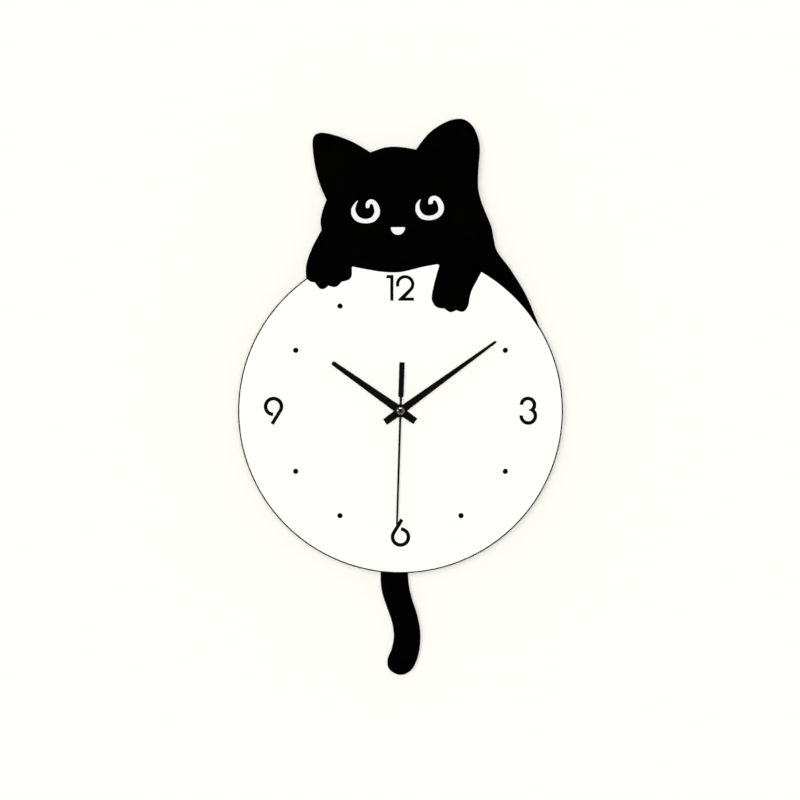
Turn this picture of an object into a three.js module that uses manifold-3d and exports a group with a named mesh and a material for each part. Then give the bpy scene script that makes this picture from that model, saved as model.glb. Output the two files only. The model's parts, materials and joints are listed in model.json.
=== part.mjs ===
// Cat wall clock with a swinging tail.
//
// One black sheet is both the round dial backing and the cat that leans over it. A thin white facing
// covers the dial inside a narrow black rim. A battery movement sits behind the sheet, turns the hands
// through it, and swings the tail from a lever below.
//
// Millimetres, +Z up. The front faces -Y and the wall is the plane y = 0. Everything is drawn about the
// hand arbor, with (x, z) as seen from the front, and is lifted at the end so that the origin is the nail.
import * as THREE from 'three';
import { mergeVertices } from 'three/addons/utils/BufferGeometryUtils.js';
import Module from 'manifold-3d';

const wasm = await Module();
wasm.setup();

// ---------------------------------------------------------------- driving dimensions

const DIAL_RADIUS = 150;
const RIM_WIDTH = 1.2;
const NAIL_ABOVE_ARBOR = 42;
const SHEET = 3;
const FACING = 0.4;
const INK = 0.2;
const FILM = 0.05; // glue under the large facing
const FIT = 0.1; // clearance between a bore and what sits still in it

// Stations along Y, from the wall to the front.
const CASE_FRONT = -22;
const PANEL_BACK = CASE_FRONT - 1;
const PANEL_FRONT = PANEL_BACK - SHEET;
const FACING_BACK = PANEL_FRONT - FILM;
const FACING_FRONT = FACING_BACK - FACING;
const NECK_TIP = -30;
const HOUR_BACK = -31.3;
const MINUTE_BACK = -33;
const SECOND_BACK = -34.6;

// Movement case.
const WALL = 1.5;
const CASE_HALF_WIDTH = 29;
const CASE_TOP = 30;
const CASE_BOTTOM = -72;
const CASE_INSIDE = CASE_FRONT + WALL;
const CASE_INNER = CASE_HALF_WIDTH - WALL;
const GEAR_FLOOR = -12.4; // underside of the shelf below the gears
const BAY_FLOOR = -28.6; // underside of the shelf below the battery
const SHELF = 1;
const COVER_FRONT = -7.5;
const COVER_BACK = -6;

// Concentric arbors of the hands, outside radii.
const NECK_RADIUS = 3.6;
const NECK_BORE = 2.6;
const HOUR_PIPE = 2.5;
const CANNON_PIPE = 1.65;
const SECOND_ARBOR = 0.5;

// Hands: clockwise angle from twelve and reach from the arbor.
const HOUR_ANGLE = 305.3;
const HOUR_REACH = 77.3;
const MINUTE_ANGLE = 54;
const MINUTE_REACH = 109;
const SECOND_ANGLE = 181.8;
const SECOND_REACH = 105;
const HAND_THICKNESS = 0.5;
const HUB_RADIUS = 4.4;

// Numerals and dots.
const STROKE = 3.35;
const NARROW_STROKE = 2.95; // the twelve is drawn with a finer pen
const NUMERAL_FOOT = 101.6; // lowest point of the twelve
const DOT_CIRCLE = 111.7;
const DOT_RADIUS = 2.45;

// Wheel train: how many teeth each wheel and pinion has.
const HOUR_TEETH = 28;
const HOUR_PINION_TEETH = 7;
const MOTION_TEETH = 24;
const CANNON_PINION_TEETH = 8;
const CENTRE_TEETH = 48;
const THIRD_PINION_TEETH = 6;
const THIRD_TEETH = 45;
const SECOND_PINION_TEETH = 6;
const SECOND_TEETH = 40;
const FIFTH_PINION_TEETH = 8;
const FIFTH_TEETH = 36;
const ROTOR_PINION_TEETH = 6;

// Wheel train: modules. Two pairs between the same arbors share one distance, so one module follows.
const MOTION_MODULE = 0.5;
const CENTRE_MODULE = 0.4;
const SECOND_MODULE = 0.4;
const FIFTH_MODULE = 0.34;
const MOTION_REACH = apart(MOTION_MODULE, CANNON_PINION_TEETH, MOTION_TEETH);
const HOUR_MODULE = (2 * MOTION_REACH) / (HOUR_TEETH + HOUR_PINION_TEETH);
const THIRD_REACH = apart(CENTRE_MODULE, CENTRE_TEETH, THIRD_PINION_TEETH);
const THIRD_MODULE = (2 * THIRD_REACH) / (THIRD_TEETH + SECOND_PINION_TEETH);

// Wheel train: where each wheel turns, as [x, z] from the hand arbor.
const CENTRE = [0, 0];
const THIRD = polar(THIRD_REACH, 160);
const FIFTH = polar(apart(SECOND_MODULE, SECOND_TEETH, FIFTH_PINION_TEETH), 75);
const MOTION = polar(MOTION_REACH, 330);
const ROTOR = add(FIFTH, polar(apart(FIFTH_MODULE, FIFTH_TEETH, ROTOR_PINION_TEETH), 20));
const KNOB = add(MOTION, polar(MOTION_REACH, 10));

// Wheel train: front face of each layer of teeth, and their common thickness.
const TOOTH_WIDTH = 0.8;
const HOUR_LAYER = -20.1;
const MOTION_LAYER = -19;
const CENTRE_LAYER = -17.6;
const THIRD_LAYER = -16.2;
const SECOND_LAYER = -14.8;
const FIFTH_LAYER = -13.4;
const ARBOR_END = -7.8; // where the arbors stop inside the rear bearings

// Wheel train: radii of the arbors that turn and of the posts that wheels turn on.
const THIRD_ARBOR = 0.45;
const ROTOR_ARBOR = 0.4;
const KNOB_SHAFT = 1.3;
const POST = 0.5;

// Step motor: stator sheet and the iron core through the coil.
const ROTOR_RADIUS = 2.6;
const STATOR_BACK = -10.2;
const CORE_BOTTOM = 20;
const CORE_TOP = 23;

// Screws, as [x, z] in the rear cover and as x along the top of the case.
const COVER_SCREWS = [[-24.5, 3], [24.5, 12]];
const HANGER_SCREWS = [-20, 20];
const HANGER_SCREW_Y = -9;
const HANGER_POST = 3; // half the width of the post under each hanger screw

// Tail drive.
const PIVOT_Z = -34;
const PIVOT_PIN = 0.95;
const PEG = 1.3;
const MAGNET_Z = -56;
const ROD_PEG_Z = -78;
const ROD_END_Z = -160;
const LEVER_FRONT = -11;
const LEVER_BACK = -9;
const ROD_FRONT = -12.3;
const ROD_BACK = -11.3;
const TAIL_BACK = ROD_FRONT - 0.1;
const RIVET_HEIGHTS = [-126, -143];
const RIVET_SHANK = 0.95;

// Battery, AA size.
const CELL_RADIUS = 7.1;
const CELL_LENGTH = 49.2;
const CELL_X = 1.2;
const CELL_Y = -13;
const CELL_Z = -20;

// ---------------------------------------------------------------- looks

const LOOKS = {
  black: { color: 0x050505, roughness: 0.22, metalness: 0 },
  white: { color: 0xf6f6f2, roughness: 0.45, metalness: 0 },
  ink: { color: 0x060606, roughness: 0.5, metalness: 0 },
  hand: { color: 0x16150f, roughness: 0.35, metalness: 0.6 },
  chrome: { color: 0xb8b8b8, roughness: 0.12, metalness: 1 },
  steel: { color: 0x9a9c9e, roughness: 0.32, metalness: 1 },
  brass: { color: 0xb08a3c, roughness: 0.3, metalness: 1 },
  copper: { color: 0x9c4a1e, roughness: 0.4, metalness: 0.8 },
  magnet: { color: 0x3a3a3c, roughness: 0.5, metalness: 0.6 },
  rubber: { color: 0x111111, roughness: 0.9, metalness: 0 },
  housing: { color: 0x17181a, roughness: 0.55, metalness: 0 },
  gear: { color: 0xe9e6dc, roughness: 0.4, metalness: 0 },
  board: { color: 0x1d4a2c, roughness: 0.5, metalness: 0 },
  sleeve: { color: 0x25508c, roughness: 0.35, metalness: 0.1 },
};

// ---------------------------------------------------------------- points and outlines

function polar(radius, degrees) {
  const angle = THREE.MathUtils.degToRad(degrees);
  return [radius * Math.cos(angle), radius * Math.sin(angle)];
}

function add([ax, az], [bx, bz]) {
  return [ax + bx, az + bz];
}

// Distance between the centres of two meshing wheels.
function apart(module, teeth, otherTeeth) {
  return (module * (teeth + otherTeeth)) / 2;
}

// Points along an arc. Angles run counter-clockwise from +x as seen from the front.
function arc(centre, radius, from, to, step = 12) {
  const count = Math.ceil(Math.abs(to - from) / step);
  const points = [];
  for (let i = 0; i <= count; i += 1) {
    points.push(add(centre, polar(radius, from + ((to - from) * i) / count)));
  }
  return points;
}

// A smooth curve through a few points, with the given number of chords between each two.
function curve(points, chords = 2) {
  const spline = new THREE.SplineCurve(points.map(([x, z]) => new THREE.Vector2(x, z)));
  return spline.getPoints(chords * (points.length - 1)).map((point) => [point.x, point.y]);
}

// A closed outline from stretches that may share their end points.
function outline(...stretches) {
  const points = stretches.flat().map(([x, z]) => new THREE.Vector2(x, z));
  const distinct = points.filter((point, i) => point.distanceTo(points.at(i - 1)) > 0.01);
  return new THREE.Shape(distinct);
}

function rectangle(left, right, bottom, top) {
  return outline([[left, bottom], [right, bottom], [right, top], [left, top]]);
}

function circle(centre, radius, step = 12) {
  return outline(arc(centre, radius, 0, 360, step));
}

// The band that a pen of changing width leaves along a line of [x, z, width] points.
function band(line) {
  const left = [];
  const right = [];
  line.forEach(([x, z, width], i) => {
    const before = line[Math.max(i - 1, 0)];
    const after = line[Math.min(i + 1, line.length - 1)];
    const length = Math.hypot(after[0] - before[0], after[1] - before[1]);
    const acrossX = (-(after[1] - before[1]) / length) * (width / 2);
    const acrossZ = ((after[0] - before[0]) / length) * (width / 2);
    left.push([x + acrossX, z + acrossZ]);
    right.unshift([x - acrossX, z - acrossZ]);
  });
  return outline(left, right);
}

// The smooth version of a band, drawn from a few [x, z, width] points.
function brush(points) {
  const places = points.map(([x, z]) => [x, z]);
  const widths = points.map(([, , width], i) => [i, width]);
  const smoothWidths = curve(widths);
  return band(curve(places).map(([x, z], i) => [x, z, smoothWidths[i][1]]));
}

// ---------------------------------------------------------------- solids

// A flat plate whose outline is seen from the front and whose material runs forward from backY.
function plate(shape, thickness, backY) {
  const geometry = new THREE.ExtrudeGeometry(shape, { depth: thickness, bevelEnabled: false });
  geometry.rotateX(Math.PI / 2);
  geometry.translate(0, backY, 0);
  return geometry;
}

// How many flats stand for a circle.
function flats(radius) {
  if (radius < 1.2) {
    return 12;
  }
  return radius < 3 ? 16 : 24;
}

// A solid of revolution about the Y axis, from a profile of [radius, y] points.
function lathed(profile) {
  const segments = flats(Math.max(...profile.map(([radius]) => radius)));
  const closed = profile[0][0] > 0 ? [...profile, profile[0]] : profile;
  return new THREE.LatheGeometry(closed.map(([radius, y]) => new THREE.Vector2(radius, y)), segments);
}

// The same about the Y line through [x, z].
function turned([x, z], profile) {
  const geometry = lathed(profile);
  geometry.translate(x, 0, z);
  return geometry;
}

function rod(centre, radius, front, back) {
  return turned(centre, [[0, front], [radius, front], [radius, back], [0, back]]);
}

function ring(centre, outer, inner, front, back) {
  return turned(centre, [[inner, front], [outer, front], [outer, back], [inner, back]]);
}

function block(left, right, front, back, bottom, top) {
  const geometry = new THREE.BoxGeometry(right - left, back - front, top - bottom);
  geometry.translate((left + right) / 2, (front + back) / 2, (bottom + top) / 2);
  return geometry;
}

function solid(geometry) {
  const bare = geometry.clone();
  bare.deleteAttribute('normal');
  bare.deleteAttribute('uv');
  const welded = mergeVertices(bare, 1e-4);
  const corners = welded.index.array;
  const triangles = [];
  for (let i = 0; i < corners.length; i += 3) {
    const [a, b, c] = corners.slice(i, i + 3);
    const collapsed = a === b || b === c || c === a;
    if (!collapsed) {
      triangles.push(a, b, c);
    }
  }
  return new wasm.Manifold(new wasm.Mesh({
    numProp: 3,
    vertProperties: new Float32Array(welded.attributes.position.array),
    triVerts: new Uint32Array(triangles),
  }));
}

function faceted(manifold) {
  const mesh = manifold.getMesh();
  const indexed = new THREE.BufferGeometry();
  indexed.setAttribute('position', new THREE.BufferAttribute(mesh.vertProperties, 3));
  indexed.setIndex(new THREE.BufferAttribute(mesh.triVerts, 1));
  const geometry = indexed.toNonIndexed();
  geometry.computeVertexNormals();
  return geometry;
}

// The joined pieces less everything cut away.
function carved(joined, cut = []) {
  let body = solid(joined[0]);
  for (const geometry of joined.slice(1)) {
    body = body.add(solid(geometry));
  }
  for (const geometry of cut) {
    body = body.subtract(solid(geometry));
  }
  return faceted(body);
}

const clock = new THREE.Group();
clock.name = 'cat_tail_clock';
const assembly = new THREE.Group();
assembly.position.z = -NAIL_ABOVE_ARBOR;
clock.add(assembly);

function piece(name, look, geometry) {
  const mesh = new THREE.Mesh(geometry, new THREE.MeshStandardMaterial(LOOKS[look]));
  mesh.name = name;
  assembly.add(mesh);
}

// ---------------------------------------------------------------- the cat and the dial

// The cat clockwise from where its left side leaves the dial: back, ears, far side down to a point on
// the rim, back up the rim, the hanging right paw, the chin and the left paw.
function catOutline() {
  const rim = DIAL_RADIUS - RIM_WIDTH;
  const overlap = 0.45; // how far the body reaches in past the rim
  const tipOnRim = 29;
  const armLeavesRim = 59.8;
  const leftFlank = curve([[-87.1, 122.5], [-87.2, 134], [-82.6, 148.5], [-76.6, 160.2], [-72.9, 167]]);
  const leftCheek = curve([[-72.9, 167], [-73.9, 175], [-71.8, 185.5], [-68.3, 194.8]]);
  const leftEar = curve([
    [-68.3, 194.8], [-72.7, 204.5], [-77.4, 219], [-80.6, 237], [-80.7, 252], [-74, 256.8],
    [-60, 254.4], [-43, 247.8], [-27.8, 238.7],
  ]);
  const crown = curve([[-27.8, 238.7], [-14, 243.3], [0, 243.7], [14.3, 241.3]]);
  const rightSide = curve([
    [14.3, 241.3], [26, 256.1], [41, 266.3], [56, 269.7], [67.3, 262.1], [73.2, 245], [72.2, 226],
    [71.8, 205.5], [76.5, 188.2], [84, 169.7], [88.5, 148.9], [99.7, 133.3], [112.3, 113.6],
    [120.8, 96.1], polar(rim, tipOnRim),
  ]);
  const alongRim = arc(CENTRE, rim - overlap, tipOnRim + 3, armLeavesRim, 3);
  const rightArm = curve([
    polar(rim - overlap, armLeavesRim), [70.7, 120.6], [66.2, 112.2], [63.9, 104.5], [62.8, 98],
    [60, 92.9], [56, 91.4], [51.3, 93],
  ]);
  const rightToes = [
    ...curve([[51.3, 93], [46.3, 90.9], [40.5, 94.3]]),
    ...curve([[40.5, 94.3], [33.3, 95.8], [28.8, 103.5], [31.5, 119], [35.8, 134]]),
  ];
  const chin = curve([
    [34.5, 135.4], [20, 132.7], [5, 129], [-6.5, 127.7], [-22, 129], [-44.3, 133.1],
  ]);
  const leftPaw = [
    ...curve([[-45, 132.3], [-45, 125], [-48, 120.9], [-54.2, 119.3]]),
    ...curve([[-54.2, 119.3], [-57.4, 115.7], [-61.5, 114.2], [-66.7, 115.6]]),
    ...curve([[-66.7, 115.6], [-69.9, 112.9], [-74.6, 112.9], [-79, 118.5]]),
    ...curve([[-79, 118.5], [-83.2, 119.4], [-87.1, 122.5]]),
  ];
  const leftSide = [...leftFlank, ...leftCheek, ...leftEar];
  return outline(leftSide, crown, rightSide, alongRim, rightArm, rightToes, chin, leftPaw);
}

function dialPanel() {
  const disc = plate(circle(CENTRE, DIAL_RADIUS, 3), SHEET, PANEL_BACK);
  const cat = plate(catOutline(), SHEET, PANEL_BACK);
  const neckHole = rod(CENTRE, NECK_RADIUS + FIT, PANEL_FRONT - 1, PANEL_BACK + 1);
  piece('dial_panel', 'black', carved([disc, cat], [neckHole]));
}

function dialFace() {
  const nutRoom = 6.2;
  const disc = plate(circle(CENTRE, DIAL_RADIUS - RIM_WIDTH, 3), FACING, FACING_BACK);
  const cat = plate(catOutline(), FACING + 2, FACING_BACK + 1);
  const hole = rod(CENTRE, nutRoom, FACING_FRONT - 1, FACING_BACK + 1);
  piece('dial_face', 'white', carved([disc], [cat, hole]));
}

function eyesAndMouth() {
  const leftEye = brush([
    [-39.6, 194, 0.6], [-42.9, 188.3, 2.9], [-43.3, 182.5, 4.6], [-39.4, 177.1, 4.6],
    [-32.3, 175.1, 4], [-25.4, 176.9, 4.7], [-21.7, 182.3, 5.2], [-22.2, 188, 4.9], [-24.7, 192.3, 4.1],
    [-28, 193.2, 4.2], [-30.2, 190.5, 3.9], [-30.2, 187.2, 3],
  ]);
  const rightEye = brush([
    [18.6, 195.5, 0.4], [16.2, 191.2, 2.8], [15.9, 185.5, 4.3], [19.3, 180, 4.5], [25, 178.1, 4.1],
    [31.7, 179.1, 4.2], [36.5, 183, 4.7], [37.4, 188.9, 5.3], [34.3, 195.1, 4.3], [30, 196.5, 4.2],
    [27.8, 193.8, 4.4], [28, 190.9, 3.7],
  ]);
  const mouth = outline(arc([-2.4, 169], 6.5, 180, 360, 12), [[3.9, 169.5], [-8.7, 169.5]]);
  piece('eye_left', 'white', plate(leftEye, FACING, PANEL_FRONT));
  piece('eye_right', 'white', plate(rightEye, FACING, PANEL_FRONT));
  piece('mouth', 'white', plate(mouth, FACING, PANEL_FRONT));
}

function printed(name, shape) {
  piece(name, 'ink', plate(shape, INK, FACING_FRONT));
}

function pen(points) {
  return band(points.map(([x, z]) => [x, z, STROKE]));
}

// A ring that runs out into a straight slanting stem. Turned half round, a nine is a six.
function nineOutline(centre, turn) {
  const bowl = 7.35;
  const stemLeaves = -31.4;
  const stem = 14.5;
  const bowlLine = arc(centre, bowl, turn + 267, turn + stemLeaves);
  const stemEnd = add(bowlLine.at(-1), polar(stem, turn + stemLeaves - 90));
  return pen([...bowlLine, stemEnd]);
}

// Two round bowls that meet in a notch. Each bowl is drawn along the middle of its stroke.
function threeOutline() {
  const upper = { centre: [117.65, 5.45], radius: 6 };
  const lower = { centre: [118, -4.7], radius: 6.55 };
  const half = STROKE / 2;
  const outside = [
    ...arc(upper.centre, upper.radius + half, 180, -34),
    ...arc(lower.centre, lower.radius + half, 44, -184),
  ];
  const notch = [117.9, 1.1];
  const inside = [
    ...arc(lower.centre, lower.radius - half, -184, 80),
    notch,
    ...arc(upper.centre, upper.radius - half, -75, 180),
  ];
  return outline(outside, inside);
}

function twoOutline() {
  const half = NARROW_STROKE / 2;
  const bowl = [4.3, 116.8];
  const bowlRadius = 8.5;
  const starts = 197;
  const turnsAt = -38;
  const left = -2;
  const right = 12.5;
  const neckX = 4.6;
  return outline(
    arc(bowl, bowlRadius, starts, turnsAt),
    [[neckX, NUMERAL_FOOT + NARROW_STROKE], [right, NUMERAL_FOOT + NARROW_STROKE]],
    [[right, NUMERAL_FOOT], [left, NUMERAL_FOOT], [left, NUMERAL_FOOT + half]],
    arc(bowl, bowlRadius - NARROW_STROKE, turnsAt, starts),
  );
}

function numeralsAndDots() {
  const oneTop = 125.4;
  const flagLeft = -13.2;
  const flagSlant = 0.7;
  const stemRight = -6.5;
  const stemLeft = stemRight - NARROW_STROKE;
  const flagFoot = oneTop - NARROW_STROKE;
  const one = outline([
    [stemRight, NUMERAL_FOOT], [stemRight, oneTop], [flagLeft + flagSlant, oneTop],
    [flagLeft, flagFoot], [stemLeft, flagFoot], [stemLeft, NUMERAL_FOOT],
  ]);
  printed('numeral_12_one', one);
  printed('numeral_12_two', twoOutline());
  printed('numeral_3', threeOutline());
  printed('numeral_6', nineOutline([0, -116.5], 180));
  printed('numeral_9', nineOutline([-117.2, 4], 0));
  // The dot at one o'clock would lie under the right paw and is left out.
  for (const hour of [2, 4, 5, 7, 8, 10, 11]) {
    printed(`hour_dot_${hour}`, circle(polar(DOT_CIRCLE, 90 - 30 * hour), DOT_RADIUS, 18));
  }
}

// ---------------------------------------------------------------- hands and their fixings

// A blade that tapers from the arbor to a round tip, with a square tail behind the arbor.
function blade(reach, width, backY) {
  const root = width.root / 2;
  const tip = width.tip / 2;
  const tail = width.tail / 2;
  const taper = outline(
    [[-root, 0], [-tail, -width.tailReach], [tail, -width.tailReach], [root, 0]],
    arc([0, reach - tip], tip, 0, 180, 30),
  );
  const hub = rod(CENTRE, HUB_RADIUS, backY - HAND_THICKNESS, backY);
  return [plate(taper, HAND_THICKNESS, backY), hub];
}

function hand(name, parts, bore, angle) {
  const geometry = carved(parts, bore);
  geometry.rotateY(THREE.MathUtils.degToRad(angle));
  piece(name, 'hand', geometry);
}

function hands() {
  const collet = 1;
  const hourBore = HOUR_PIPE + FIT;
  const minuteBore = CANNON_PIPE + FIT;
  const hourFront = HOUR_BACK - HAND_THICKNESS;
  hand(
    'hour_hand',
    [...blade(HOUR_REACH, { root: 7.7, tip: 4.1, tailReach: 16.8, tail: 6.2 }, HOUR_BACK),
      rod(CENTRE, hourBore + 0.8, HOUR_BACK - 0.2, HOUR_BACK + collet)],
    [rod(CENTRE, hourBore, hourFront - 1, HOUR_BACK + collet + 1)],
    HOUR_ANGLE,
  );
  const minuteFront = MINUTE_BACK - HAND_THICKNESS;
  hand(
    'minute_hand',
    [...blade(MINUTE_REACH, { root: 7.1, tip: 2.4, tailReach: 17.6, tail: 6.2 }, MINUTE_BACK),
      rod(CENTRE, minuteBore + 0.95, MINUTE_BACK - 0.2, MINUTE_BACK + collet)],
    [rod(CENTRE, minuteBore, minuteFront - 1, MINUTE_BACK + collet + 1)],
    MINUTE_ANGLE,
  );
  secondHand();
}

// A needle with a short neck and a broad square counterweight behind the arbor.
function secondHand() {
  const thickness = 0.4;
  const front = SECOND_BACK - thickness;
  const neck = 1;
  const neckEnds = -12;
  const weight = 2.45;
  const weightStarts = -13.5;
  const weightEnds = -44.8;
  const tip = 0.88;
  const tipRound = 0.45;
  const rightHalf = [
    [weight, weightEnds], [weight, weightStarts], [neck, neckEnds], [neck, 0],
    [tip, SECOND_REACH - tipRound], [tip - tipRound, SECOND_REACH],
  ];
  const leftHalf = rightHalf.map(([x, z]) => [-x, z]).reverse();
  const needle = outline(rightHalf, leftHalf);
  hand(
    'second_hand',
    [plate(needle, thickness, SECOND_BACK), rod(CENTRE, 3, front, SECOND_BACK),
      rod(CENTRE, 1.2, SECOND_BACK - 0.1, SECOND_BACK + 0.9)],
    [rod(CENTRE, SECOND_ARBOR + FIT, SECOND_BACK, SECOND_BACK + 2)],
    SECOND_ANGLE,
  );
  const dome = [[0, front - 1.8], [1.4, front - 1.65], [2.6, front - 1.2], [3.4, front - 0.5]];
  piece('second_hand_boss', 'chrome', turned(CENTRE, [...dome, [3.65, front], [0, front]]));
}

function neckFixings() {
  const washer = 0.5;
  const nut = 2.5;
  const acrossFlats = 10;
  const nutRadius = acrossFlats / 2 / Math.cos(Math.PI / 6);
  const nutBack = PANEL_FRONT - washer;
  const hex = plate(outline(arc(CENTRE, nutRadius, 0, 360, 60)), nut, nutBack);
  const bore = rod(CENTRE, NECK_RADIUS + FIT, nutBack - nut - 1, nutBack + 1);
  piece('arbor_nut', 'brass', carved([hex], [bore]));
  piece('dial_washer', 'steel', ring(CENTRE, 5, NECK_RADIUS + FIT, nutBack, PANEL_FRONT));
  piece('rubber_washer', 'rubber', ring(CENTRE, 12, NECK_RADIUS + FIT, PANEL_BACK, CASE_FRONT));
}

// ---------------------------------------------------------------- wheel train

// A wheel outline with straight-sided teeth; `phase` is the direction of one tooth's middle in degrees.
function toothed(centre, teeth, module, phase) {
  const pitchRadius = (teeth * module) / 2;
  const tipRadius = pitchRadius + 0.6 * module;
  const rootRadius = pitchRadius - 1.05 * module;
  const pitchAngle = 360 / teeth;
  const rootHalf = 0.3 * pitchAngle;
  const tipHalf = 0.11 * pitchAngle;
  const points = [];
  for (let tooth = 0; tooth < teeth; tooth += 1) {
    const middle = phase + tooth * pitchAngle;
    points.push(
      add(centre, polar(rootRadius, middle - rootHalf)),
      add(centre, polar(tipRadius, middle - tipHalf)),
      add(centre, polar(tipRadius, middle + tipHalf)),
      add(centre, polar(rootRadius, middle + rootHalf)),
    );
  }
  return outline(points);
}

// The phase that puts a gap of the second wheel over the tooth of the first on the line between them.
function meshingPhase(fromCentre, fromTeeth, fromPhase, toCentre, toTeeth) {
  const along = Math.atan2(toCentre[1] - fromCentre[1], toCentre[0] - fromCentre[0]);
  const direction = THREE.MathUtils.radToDeg(along);
  return direction + 180 + 180 / toTeeth - ((fromPhase - direction) * fromTeeth) / toTeeth;
}

function teethAt(front, centre, teeth, module, phase = 0) {
  return plate(toothed(centre, teeth, module, phase), TOOTH_WIDTH, front + TOOTH_WIDTH);
}

function drilled(parts, centre, radius) {
  const through = rod(centre, radius, CASE_FRONT - 20, 5);
  return carved(parts, [through]);
}

// Hands side of the train: what the setting knob turns.
function motionWork() {
  const hourPipeFront = HOUR_BACK - HAND_THICKNESS;
  const cannonFront = MINUTE_BACK - HAND_THICKNESS;
  const hourWheel = [
    rod(CENTRE, HOUR_PIPE, hourPipeFront, HOUR_LAYER + 0.2),
    teethAt(HOUR_LAYER, CENTRE, HOUR_TEETH, HOUR_MODULE),
  ];
  piece('hour_wheel', 'gear', drilled(hourWheel, CENTRE, CANNON_PIPE + FIT));

  const centreWheel = [
    rod(CENTRE, CANNON_PIPE, cannonFront, HOUR_LAYER + TOOTH_WIDTH + 0.2),
    teethAt(MOTION_LAYER, CENTRE, CANNON_PINION_TEETH, MOTION_MODULE),
    rod(CENTRE, 1.4, HOUR_LAYER, CENTRE_LAYER + 0.2),
    teethAt(CENTRE_LAYER, CENTRE, CENTRE_TEETH, CENTRE_MODULE),
  ];
  piece('centre_wheel', 'gear', drilled(centreWheel, CENTRE, SECOND_ARBOR + FIT));

  const motionPhase = meshingPhase(CENTRE, CANNON_PINION_TEETH, 0, MOTION, MOTION_TEETH);
  const pinionPhase = meshingPhase(CENTRE, HOUR_TEETH, 0, MOTION, HOUR_PINION_TEETH);
  const motionWheel = [
    teethAt(MOTION_LAYER, MOTION, MOTION_TEETH, MOTION_MODULE, motionPhase),
    rod(MOTION, 1.1, HOUR_LAYER, MOTION_LAYER + 0.2),
    teethAt(HOUR_LAYER, MOTION, HOUR_PINION_TEETH, HOUR_MODULE, pinionPhase),
  ];
  piece('motion_wheel', 'gear', drilled(motionWheel, MOTION, POST + FIT));

  const knobPhase = meshingPhase(MOTION, MOTION_TEETH, motionPhase, KNOB, CANNON_PINION_TEETH);
  settingKnob(teethAt(MOTION_LAYER, KNOB, CANNON_PINION_TEETH, MOTION_MODULE, knobPhase));
}

// A shaft from the motion work to a fluted knob behind the cover.
function settingKnob(pinion) {
  const flutes = 16;
  const radius = 6.2;
  const fluteDepth = 0.6;
  const landHalf = 6; // half the angle of each land between flutes
  const knobFront = COVER_BACK + 0.5;
  const knobBack = -1.5;
  const grip = [];
  for (let i = 0; i < flutes; i += 1) {
    const land = (360 / flutes) * i;
    const flute = land + 180 / flutes;
    grip.push(add(KNOB, polar(radius, land - landHalf)), add(KNOB, polar(radius, land + landHalf)));
    grip.push(add(KNOB, polar(radius - fluteDepth, flute)));
  }
  piece('setting_knob', 'housing', carved([
    pinion,
    rod(KNOB, KNOB_SHAFT, MOTION_LAYER + TOOTH_WIDTH - 0.2, knobFront + 1),
    plate(outline(grip), knobBack - knobFront, knobBack),
  ]));
}

// Running side of the train, from the rotor to the second hand.
function goingTrain() {
  const thirdPinionPhase = meshingPhase(CENTRE, CENTRE_TEETH, 0, THIRD, THIRD_PINION_TEETH);
  piece('third_pinion', 'steel', carved([
    teethAt(CENTRE_LAYER, THIRD, THIRD_PINION_TEETH, CENTRE_MODULE, thirdPinionPhase),
    rod(THIRD, THIRD_ARBOR, CASE_INSIDE + 0.2, ARBOR_END),
  ]));

  const thirdPhase = meshingPhase(CENTRE, SECOND_PINION_TEETH, 0, THIRD, THIRD_TEETH);
  const thirdWheel = [
    teethAt(THIRD_LAYER, THIRD, THIRD_TEETH, THIRD_MODULE, thirdPhase),
    rod(THIRD, 1.6, THIRD_LAYER, THIRD_LAYER + 2.2),
  ];
  piece('third_wheel', 'gear', drilled(thirdWheel, THIRD, THIRD_ARBOR + FIT));

  piece('second_wheel', 'gear', carved([
    rod(CENTRE, SECOND_ARBOR, SECOND_BACK + 0.1, ARBOR_END),
    teethAt(THIRD_LAYER, CENTRE, SECOND_PINION_TEETH, THIRD_MODULE),
    rod(CENTRE, 1, THIRD_LAYER + TOOTH_WIDTH - 0.2, SECOND_LAYER + 0.2),
    teethAt(SECOND_LAYER, CENTRE, SECOND_TEETH, SECOND_MODULE),
  ]));

  const fifthPinionPhase = meshingPhase(CENTRE, SECOND_TEETH, 0, FIFTH, FIFTH_PINION_TEETH);
  const fifthWheel = [
    teethAt(SECOND_LAYER, FIFTH, FIFTH_PINION_TEETH, SECOND_MODULE, fifthPinionPhase),
    rod(FIFTH, 1.1, SECOND_LAYER + 0.2, ARBOR_END),
    teethAt(FIFTH_LAYER, FIFTH, FIFTH_TEETH, FIFTH_MODULE),
  ];
  piece('fifth_wheel', 'gear', drilled(fifthWheel, FIFTH, POST + FIT));

  const rotorPhase = meshingPhase(FIFTH, FIFTH_TEETH, 0, ROTOR, ROTOR_PINION_TEETH);
  const rotorHub = 0.9;
  piece('rotor_pinion', 'gear', carved([
    teethAt(FIFTH_LAYER, ROTOR, ROTOR_PINION_TEETH, FIFTH_MODULE, rotorPhase),
    rod(ROTOR, ROTOR_ARBOR, FIFTH_LAYER - 1.6, ARBOR_END),
    rod(ROTOR, rotorHub, FIFTH_LAYER + TOOTH_WIDTH + 0.1, -9.3),
  ]));
  piece('rotor_magnet', 'magnet', ring(ROTOR, ROTOR_RADIUS, rotorHub + FIT, -12, -9.8));
}

// ---------------------------------------------------------------- electrics of the going train

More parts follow.
